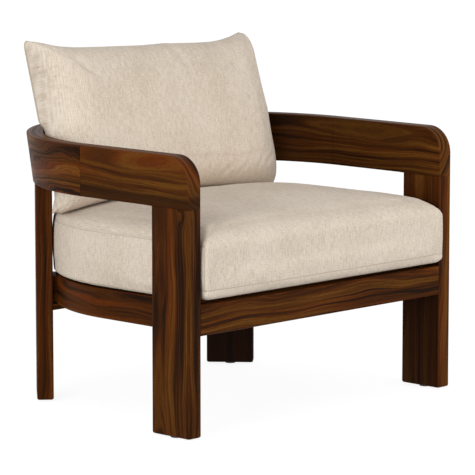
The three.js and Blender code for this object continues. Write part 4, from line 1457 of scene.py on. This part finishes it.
@dataclass
class BackPillow:
    """The loose back pillow: two linen panels sewn to a knife edge, leaning in the band."""

    lines: FrameLines
    linen: bpy.types.Material
    sewing: bpy.types.Material
    width: float = 0.667
    rise: float = 0.199  # from its middle to its top corners
    fall: float = 0.178  # and to its lower ones
    front_depth: float = 0.087  # how far its front panel stands out from its middle plane
    back_depth: float = 0.083  # and its back panel
    side_power: float = 10.0  # how steeply the front panel rises from its sides
    edge_power: float = 6.0  # and from its top and foot
    ear_power: float = 7.0  # how narrow the ears at its top corners are
    corner_power: float = 26.0  # how square its top corners are
    foot_corner_power: float = 90.0  # and its lower ones
    side_inset: float = 0.012  # how far its sides pull in between the corners
    top_inset: float = 0.031  # how far its upper edge droops between the ears
    foot_inset: float = 0.024  # and its lower one rises
    top_slope: float = 0.009  # how much a tilt lowers its right ear
    foot_spread: Pair = (0.012, 0.006)  # how far its weight spreads its lower left and right corners
    slump: float = 0.011  # how far its right side leans out and forward
    bow: float = 0.010  # how far its middle stands back from its upper and lower edges
    hem: float = 0.004  # thickness of the knife edge
    band_gap: float = 0.0035  # from the bent band
    flare: float = 0.03  # how soon it swells out again above the band
    lean_degrees: float = 14.5
    middle: float = 0.1688  # Y of its middle
    off_centre: float = 0.004  # and X
    cad_height: float = 0.368  # of its solid, before it leans
    unevenness: float = 0.0020
    back_cut: Place = (3.0, 7.0, 0.0)  # where its back panel lies on the cloth
    columns: int = 124
    rows: int = 72
    pressure: float = 3.0  # of the filling
    growth: float = 0.005  # what it adds on each side
    thread: float = 0.0008  # radius of the sewing
    settle_height: float = 0.017  # over which its lower side flattens
    folds: tuple[Fold, ...] = (
        Fold((-0.262, 0.165), (-0.232, 0.118), 0.0020, 0.011),
        Fold((-0.318, 0.088), (-0.276, 0.07), 0.0022, 0.006),
        Fold((-0.306, 0.150), (-0.290, 0.098), 0.0022, 0.008),
        Fold((0.03, 0.178), (0.062, 0.118), 0.0028, 0.010),
        Fold((0.062, 0.118), (0.07, 0.075), 0.0018, 0.011),
        Fold((0.296, 0.158), (0.276, 0.116), 0.0022, 0.009),
        Fold((0.12, -0.150), (0.16, -0.128), 0.0018, 0.0055),
        Fold((0.175, -0.152), (0.205, -0.124), 0.0020, 0.0055),
        Fold((0.225, -0.150), (0.252, -0.118), 0.0018, 0.0055),
        Fold((0.262, -0.135), (0.296, -0.108), 0.0020, 0.006),
        Fold((-0.03, -0.152), (0.02, -0.138), 0.0014, 0.006),
    )

    def build(self, seat: bpy.types.Object) -> bpy.types.Object:
        """Builds the pillow on the settled seat cushion.

        Args:
            seat: The seat cushion's cover, which carries it.

        Returns:
            The pillow's cover.
        """
        cover = self._cover()
        swell(cover, self._held(), self.pressure, self.growth)
        resting = self._settled_on(seat, self._kept_in_band(corners_of(cover)))
        set_corners(cover, resting)
        applied(cover, "SUBSURF", levels=1, render_levels=1)
        self._crease(cover)
        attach(cover, PILLOW_BODY)
        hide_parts("back_cushion")
        LOG.info("%s rides on %s, with %d corners", cover.name, PILLOW_BODY, len(cover.data.vertices))
        self._sew(cover)
        return cover

    @staticmethod
    def _eased(count: int) -> np.ndarray:
        """Places from -1 to 1, closer together near the ends."""
        even = np.linspace(-1, 1, count + 1)
        return 0.45 * even + 0.55 * np.sin(even * math.pi / 2)

    def _panel(self, face: int) -> np.ndarray:
        """A panel of the pillow in its own frame.

        Args:
            face: -1 for the front panel and 1 for the back one.

        Returns:
            Its corners, as rows of columns.
        """
        u, v = np.meshgrid(self._eased(self.columns), self._eased(self.rows))
        outmost = np.maximum(np.abs(u), np.abs(v))
        lesser = np.minimum(np.abs(u), np.abs(v)) / np.maximum(outmost, 1e-9)
        power = np.where(v < 0, self.foot_corner_power, self.corner_power)
        rounded = (1 + lesser**power) ** (-1 / power)
        pull = 1 - (1 - rounded) * outmost**8
        wide, up = u * pull, v * pull
        spread = np.where(wide < 0, *self.foot_spread) * np.clip(-up, 0, 1) ** 1.5
        low_share = np.clip(np.where(up > 0, 1 - 0.9 * up, 1 + 0.6 * up), 0, 1)
        slump = self.slump * ((1 + wide) / 2) ** 2 * (1 - up**2) * low_share
        x = wide * (self.width / 2 + spread - self.side_inset * (1 - up**2)) + slump
        top_dip = self.top_inset * (1 - np.abs(wide) ** self.ear_power)
        dip = np.where(up > 0, top_dip, self.foot_inset * (1 - wide**2))
        slope = -self.top_slope * wide * (1 + up) / 2
        z = up * (np.where(up > 0, self.rise, self.fall) - dip) + slope
        front = np.sqrt(np.clip((1 - np.abs(u) ** self.side_power) * (1 - np.abs(v) ** self.edge_power), 0, 1))
        behind = (1 - u**2) * np.sqrt(np.clip(1 - v**2, 0, 1))
        depth = (self.front_depth if face < 0 else self.back_depth) - self.hem / 2
        half = self.hem / 2 + (front if face < 0 else behind) * depth
        y = self.bow * (1 - up**2) + face * half - slump
        return np.stack([x, y, z], axis=-1)

    def _placed(self, points: np.ndarray) -> np.ndarray:
        """Leans the pillow back and stands it where its CAD solid stands.

        Args:
            points: Its corners in its own frame, one a row.

        Returns:
            The corners in the chair's frame.
        """
        lean = -math.radians(self.lean_degrees)
        x, y, z = points.T
        y, z = y * math.cos(lean) - z * math.sin(lean), y * math.sin(lean) + z * math.cos(lean)
        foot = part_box("back_cushion")[0].z
        rise = foot + self.cad_height / 2 * math.cos(lean)
        return self._kept_in_band(np.column_stack([x + self.off_centre, y + self.middle, z + rise]))

    def _kept_in_band(self, points: np.ndarray) -> np.ndarray:
        """Presses the pillow in to where the bent band leaves room. Above and below the band it swells out again.

        Args:
            points: Its corners, one a row.

        Returns:
            The corners, moved in where they came too close.
        """
        x, y, z = points.T
        lines = self.lines
        centre = lines.centre(np.clip(z, lines.band_bottom, lines.arm_height))
        rise = np.maximum(0, z - lines.arm_height) / self.flare
        turn = np.degrees(np.arctan2(y - centre, np.abs(x)))
        below = np.clip((lines.band_bottom - 0.006 - z) * 0.5, 0, 0.016) * (1 - smoothstep(turn, 26.0, 31.0))
        room = lines.inner - self.band_gap + self.flare * rise**2 + below
        reach = np.hypot(x, y - centre)
        share = np.where((reach > room) & (y > centre), room / np.maximum(reach, 1e-9), 1.0)
        return np.column_stack([x * share, centre + (y - centre) * share, z])

    def _settled_on(self, seat: bpy.types.Object, points: np.ndarray) -> np.ndarray:
        """Lets the pillow's lower side down onto the seat cushion, where it flattens under its own weight.

        Args:
            seat: The seat cushion's cover.
            points: The pillow's corners, one a row.

        Returns:
            The settled corners.
        """
        surface = surface_of(seat)
        settled = points.copy()
        low = points[:, 2].min() + 0.09
        for number in np.flatnonzero(points[:, 2] < low):
            x, y, z = points[number]
            hit = surface.ray_cast(Vector((x, y, 0.7)), Vector((0, 0, -1)))[0]
            if hit is None:
                continue
            height = z - hit.z
            softened = height * (1 - math.exp(-((max(height, 0) / self.settle_height) ** 2)))
            settled[number, 2] = hit.z + 0.0007 + max(softened, 0)
        return settled

    def _cover(self) -> bpy.types.Object:
        """The pillow's closed cover, before it settles.

        Returns:
            The cover.
        """
        front, back = self._panel(-1), self._panel(1)
        rows, columns = front.shape[:2]
        number = np.arange(rows * columns).reshape(rows, columns)
        inside = np.zeros((rows, columns), bool)
        inside[1:-1, 1:-1] = True
        behind = np.where(inside, 0, number)
        behind[inside] = rows * columns + np.arange(int(inside.sum()))
        rim = ~inside
        front[rim] = (front[rim] + back[rim]) / 2
        points = np.concatenate([front.reshape(-1, 3), back[inside]])
        faces = []
        for grid, turned in ((number, False), (behind, True)):
            quads = np.stack([grid[:-1, :-1], grid[:-1, 1:], grid[1:, 1:], grid[1:, :-1]], axis=-1).reshape(-1, 4)
            faces += (quads[:, ::-1] if turned else quads).tolist()
        cover = add_piece("back_pillow_cover", self._placed(points), faces, self.linen)
        weave = np.column_stack([points[:, 0], points[:, 2], np.zeros(len(points))])
        weave[rows * columns:] += self.back_cut
        add_vectors(cover, "weave", weave)
        self._rim = np.concatenate([number[0, :-1], number[:-1, -1], number[-1, :0:-1], number[:0:-1, 0]])
        return cover

    def _held(self) -> np.ndarray:
        """How firmly each point is held: the knife edge nearly fast, the panels not at all.

        Returns:
            A share from 0 to 1 for each of the cover's corners.
        """
        inner = (self.columns - 1) * (self.rows - 1)
        held = np.zeros((self.columns + 1) * (self.rows + 1) + inner)
        held[self._rim] = 0.9
        return held

    def _crease(self, cover: bpy.types.Object) -> None:
        """Adds slight unevenness and the small creases that run in from the knife edge.

        Args:
            cover: The settled cover.
        """
        points, facing = corners_of(cover), normals_of(cover)
        place = read_vectors(cover.data.attributes["weave"].data, "vector")
        on_front = place[:, 0] < 1.0
        move = self.unevenness * waves(points, (0.3, 0.17, 0.09), 12)
        for fold in self.folds:
            start, end = np.array(fold.start), np.array(fold.end)
            run = end - start
            share = np.clip((place[:, :2] - start) @ run / (run @ run), -0.15, 1.15)
            away = np.linalg.norm(place[:, :2] - start - share[:, None] * run, axis=1)
            taper = np.clip(1 - (2 * share - 1) ** 2 / 1.69, 0, 1)
            hollow = np.exp(-((away / fold.width) ** 2))
            shoulder = np.exp(-(((away - 1.9 * fold.width) / fold.width) ** 2))
            move -= fold.depth * (hollow - 0.45 * shoulder) * taper * on_front
        held = 1 - np.exp(-((points[:, 2] - points[:, 2].min()) / 0.05) ** 2)
        set_corners(cover, points + facing * (move * held)[:, None])

    def _sew(self, cover: bpy.types.Object) -> None:
        """Lays the seam's thread line along the knife edge.

        Args:
            cover: The creased cover.
        """
        thread = tube("pillow_seam", corners_of(cover)[self._rim], self.thread, 5, True, self.sewing)
        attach(thread, PILLOW_BODY)
        LOG.info("%s rides on %s", thread.name, PILLOW_BODY)


@dataclass
class Zip:
    """The zip at the back of the seat cushion's cover: two tapes, their coil, the stitches and the slider."""

    lines: FrameLines
    sewing: bpy.types.Material
    cloth: PlainFinish = PlainFinish("zip_cloth", linear(196, 182, 160), 0.8)
    steel: PlainFinish = PlainFinish("zip_metal", linear(150, 148, 140), 0.35, 1.0)
    half_degrees: float = 30.0  # half the turn that the zip takes up
    tape: float = 0.0006  # thickness of the tapes
    tape_sink: float = 0.0012  # from the solid's outer face in to the tapes
    tape_gap: float = 0.0012  # from the zip's middle to each tape
    coil: float = 0.0011  # the coil winds 1.5 times this far up and down
    coil_pitch: float = 0.0019  # from one turn of it to the next
    stitch: float = 0.0026  # from one stitch to the next
    stitch_inset: float = 0.0018  # from a tape's outer edge
    slider_length: float = 0.0112
    slider_width: float = 0.0084
    pull_length: float = 0.0135
    wire: float = 0.0007  # radius of the pull's wire

    def __post_init__(self) -> None:
        """Takes the zip's radius and height from its CAD solids."""
        low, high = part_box("seat_zip_tape")
        self.low, self.high = low.z, high.z
        self.level = (low.z + high.z) / 2
        self.reach = high.y - self.lines.bend - self.tape_sink
        slider_low, slider_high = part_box("seat_zip_slider")
        middle = (slider_low + slider_high) / 2
        self.start = math.atan2(middle.y - self.lines.bend, middle.x)

    def build(self) -> None:
        """Builds the zip."""
        cloth, steel = self.cloth.material(), self.steel.material()
        half = math.radians(self.half_degrees)
        turns = np.linspace(math.pi / 2 - half, math.pi / 2 + half, 90)
        tapes = [
            self._tape("zip_tape_lower", self.low, self.level - self.tape_gap, turns, cloth),
            self._tape("zip_tape_upper", self.level + self.tape_gap, self.high, turns, cloth),
        ]
        coil = self._coil(half, cloth)
        seams = [
            self._stitches("zip_stitches_lower", self.low + self.stitch_inset, half),
            self._stitches("zip_stitches_upper", self.high - self.stitch_inset, half),
        ]
        for piece in (*tapes, coil, *seams):
            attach(piece, SEAT_BODY)
            LOG.info("%s rides on %s", piece.name, SEAT_BODY)
        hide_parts("seat_zip_tape")
        for piece in self._slider(steel):
            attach(piece, ZIP_BODY)
            LOG.info("%s rides on %s", piece.name, ZIP_BODY)
            if piece.name == "zip_slider_plate":
                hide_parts("seat_zip_slider")

    def _around(self, radius: Lengths, turn: Lengths, z: Lengths) -> np.ndarray:
        """Places given by radius and turn about the cushion's bend, and height."""
        places = np.broadcast_arrays(radius * np.cos(turn), self.lines.bend + radius * np.sin(turn), z)
        return np.stack(places, axis=-1)

    def _tape(
        self, name: str, low: float, high: float, turns: np.ndarray, cloth: bpy.types.Material,
    ) -> bpy.types.Object:
        """One of the two tapes, bent round the cushion's back.

        Args:
            name: The piece's name.
            low, high: The heights of its two edges.
            turns: Turns round the bend, from +X.
            cloth: Its material.

        Returns:
            The object.
        """
        section, _ = rounded_section((self.reach, low), (self.reach + self.tape, high), self.tape * 0.45, 2)
        rings = self._around(section[None, :, 0], turns[:, None], section[None, :, 1])
        faces = [face[::-1] for face in skin(*rings.shape[:2])]
        return add_piece(name, rings.reshape(-1, 3), faces, cloth)

    def _coil(self, half: float, cloth: bpy.types.Material) -> bpy.types.Object:
        """The nylon coil that closes the zip, as one wire wound along its middle.

        Args:
            half: Half the turn that the zip takes up.
            cloth: Its material.

        Returns:
            The object.
        """
        windings = round(2 * half * self.reach / self.coil_pitch)
        steps = np.linspace(0, 1, 8 * windings + 1)
        wind = steps * 2 * math.pi * windings
        turn = math.pi / 2 - half + 2 * half * steps
        out = self.reach + self.tape + 0.45 * self.coil * (1 + np.sin(wind))
        path = self._around(out, turn, self.level + 1.5 * self.coil * np.cos(wind))
        return tube("zip_coil", path, 0.36 * self.coil, 4, False, cloth)

    def _stitches(self, name: str, z: float, half: float) -> bpy.types.Object:
        """A row of stitches along a tape, each a thin spindle of three rings of four corners.

        Args:
            name: The piece's name.
            z: The row's height.
            half: Half the turn that the zip takes up.

        Returns:
            The object.
        """
        length = 2 * half * self.reach
        count = round(length / self.stitch)
        starts = math.pi / 2 - half + 2 * half * np.arange(count) / count
        step = 0.7 * 2 * half / count
        points, faces = [], []
        for start in starts:
            first = len(points)
            for share, thick in ((0.0, 0.3), (0.5, 1.0), (1.0, 0.3)):
                for out, up in ((0, -1), (1, 0), (0, 1), (-1, 0)):
                    radius = self.reach + self.tape + 0.0002 * out * thick
                    points.append(self._around(radius, start + share * step, z + 0.0003 * up * thick))
            for ring in (0, 4):
                for j in range(4):
                    a, b = first + ring + j, first + ring + (j + 1) % 4
                    faces.append([a, a + 4, b + 4, b])
            faces += [[first, first + 1, first + 2, first + 3], [first + 11, first + 10, first + 9, first + 8]]
        return add_piece(name, np.array(points), faces, self.sewing)

    def _slider(self, steel: bpy.types.Material) -> list[bpy.types.Object]:
        """The slider's plate, the bridge over it and the wire pull that hangs from it.

        Args:
            steel: Their material.

        Returns:
            The three objects.
        """
        length, width = self.slider_length, self.slider_width
        base = self.reach + 2 * self.tape + 0.0004
        outline = np.array([
            (-0.5, -0.28), (-0.42, -0.42), (-0.2, -0.5), (0.25, -0.42), (0.5, -0.3),
            (0.5, 0.3), (0.25, 0.42), (-0.2, 0.5), (-0.42, 0.42), (-0.5, 0.28),
        ]) * [length, width]
        levels = [(0.9, 0.0), (1.0, 0.0004), (1.0, 0.0012), (0.9, 0.0016), (0.5, 0.0018)]
        rings = np.stack([
            self._around(base + depth, self.start + outline[:, 0] * scale / base, self.level + outline[:, 1] * scale)
            for scale, depth in levels
        ])
        plate = add_piece("zip_slider_plate", rings.reshape(-1, 3), skin(*rings.shape[:2]), steel)
        arch = np.linspace(0, math.pi, 11)
        out, aside = 0.0014 + 0.0011 * np.sin(arch), 0.0028 * np.cos(arch)
        over = self._around(base + out, self.start + aside / base, self.level)
        bridge = tube("zip_slider_bridge", over, 0.0006, 8, False, steel)
        loop = np.linspace(0, 2 * math.pi, 40, endpoint=False)
        half_width, half_length = 0.0022, self.pull_length / 2
        aside = half_width * np.sign(np.cos(loop)) * np.abs(np.cos(loop)) ** 0.6
        down = half_length * np.sign(np.sin(loop)) * np.abs(np.sin(loop)) ** 0.6
        middle = self.level - half_length + 0.0014
        hanging = self._around(base + 0.0022, self.start + aside / base, middle + down)
        return [plate, bridge, tube("zip_pull", hanging, self.wire, 8, True, steel)]


@dataclass(frozen=True)
class SoftLamp:
    """A square lamp, with its place, its side in metres and its power in watts."""

    name: str
    place: Place
    size: float
    power: float


@dataclass
class Studio:
    """A pale floor, a white surround, two soft lamps and the camera at the photograph's place."""

    camera_place: Place = (-4.7809, -4.7458, 1.3087)
    heading_degrees: float = -45.825
    pitch_degrees: float = 8.421
    lens: float = 236.15  # millimetres
    shift: Pair = (0.0004, 0.0284)
    floor_size: float = 60.0
    ambient: float = 0.64  # how strongly the surround lights the chair
    floor_glow: float = 0.9  # how bright the floor looks beyond its lit tone
    floor_tone: float = 0.2
    aim: Place = (0.0, 0.0, 0.4)  # of the lamps
    front_lamp: SoftLamp = SoftLamp("front_lamp", (0.4, -2.7, 0.65), 1.4, 32.0)
    left_lamp: SoftLamp = SoftLamp("left_lamp", (-3.1, -0.7, 0.8), 1.6, 50.0)

    def build(self) -> None:
        """Sets up everything that isn't the chair."""
        self._world()
        self._floor()
        self._lamps()
        self._camera()
        scene = bpy.context.scene
        scene.view_settings.view_transform = "Standard"

    @staticmethod
    def _seen(sheet: Shader) -> Socket:
        """Tells the rays that see the surround: from the camera, by reflection or through glass.

        Args:
            sheet: The tree of the world or the floor.

        Returns:
            1 for such rays and 0 for others.
        """
        path = sheet.node("ShaderNodeLightPath").outputs
        seen = sheet.math("ADD", path["Is Camera Ray"], path["Is Glossy Ray"])
        return sheet.math("MINIMUM", sheet.math("ADD", seen, path["Is Transmission Ray"]), 1.0)

    def _world(self) -> None:
        """A white surround that lights the chair only gently."""
        sheet = Shader(bpy.data.worlds.new("studio"))
        bpy.context.scene.world = sheet.owner
        strength = sheet.stretch(self._seen(sheet), 0.0, 1.0, self.ambient, 1.0)
        back = sheet.node("ShaderNodeBackground", Color=(1.0, 1.0, 1.0, 1.0), Strength=strength)
        sheet.node("ShaderNodeOutputWorld", Surface=back.outputs[0])

    def _floor(self) -> None:
        """A pale floor that keeps a faint shadow."""
        sheet = Shader(bpy.data.materials.new("studio_floor"))
        strength = sheet.math("MULTIPLY", self._seen(sheet), self.floor_glow)
        glow = sheet.node("ShaderNodeEmission", Color=(1.0, 1.0, 1.0, 1.0), Strength=strength)
        matt = sheet.node("ShaderNodeBsdfDiffuse", Color=(self.floor_tone, self.floor_tone, self.floor_tone, 1.0))
        both = sheet.node("ShaderNodeAddShader", i0=glow.outputs[0], i1=matt.outputs[0])
        half = self.floor_size / 2
        points = np.array([(-half, -half, 0), (half, -half, 0), (half, half, 0), (-half, half, 0)], float)
        add_piece("studio_floor", points, [(0, 1, 2, 3)], sheet.finish(both.outputs[0]))

    def _lamps(self) -> None:
        """Two large soft lamps, aimed at the chair."""
        for soft in (self.front_lamp, self.left_lamp):
            light = bpy.data.lights.new(soft.name, "AREA")
            light.size, light.energy = soft.size, soft.power
            lamp = bpy.data.objects.new(soft.name, light)
            lamp.location = soft.place
            lamp.rotation_mode = "QUATERNION"
            lamp.rotation_quaternion = (Vector(self.aim) - Vector(soft.place)).to_track_quat("-Z", "Y")
            bpy.context.scene.collection.objects.link(lamp)

    def _camera(self) -> None:
        """The camera at the photograph's viewing angle."""
        camera = bpy.data.cameras.new("camera")
        camera.lens = self.lens
        camera.sensor_width = 36.0
        camera.shift_x, camera.shift_y = self.shift
        camera.clip_end = 200.0
        holder = bpy.data.objects.new("camera", camera)
        holder.location = self.camera_place
        holder.rotation_euler = (
            math.radians(90 - self.pitch_degrees), 0.0, math.radians(self.heading_degrees),
        )
        bpy.context.scene.collection.objects.link(holder)
        bpy.context.scene.camera = holder


def main() -> None:
    """Builds the chair and its studio."""
    logging.basicConfig(level=logging.INFO, format="%(name)s: %(message)s")
    Studio().build()
    lines = FrameLines.measured()
    TimberFrame(lines).build()
    linen = Linen().material()
    sewing = PlainFinish("sewing_thread", linear(198, 182, 163), 0.9, 0.0, 2500.0).material()
    seat = SeatCushion(lines, linen, sewing).build()
    BackPillow(lines, linen, sewing).build(seat)
    Zip(lines, sewing).build()


if __name__ == "__main__":
    main()
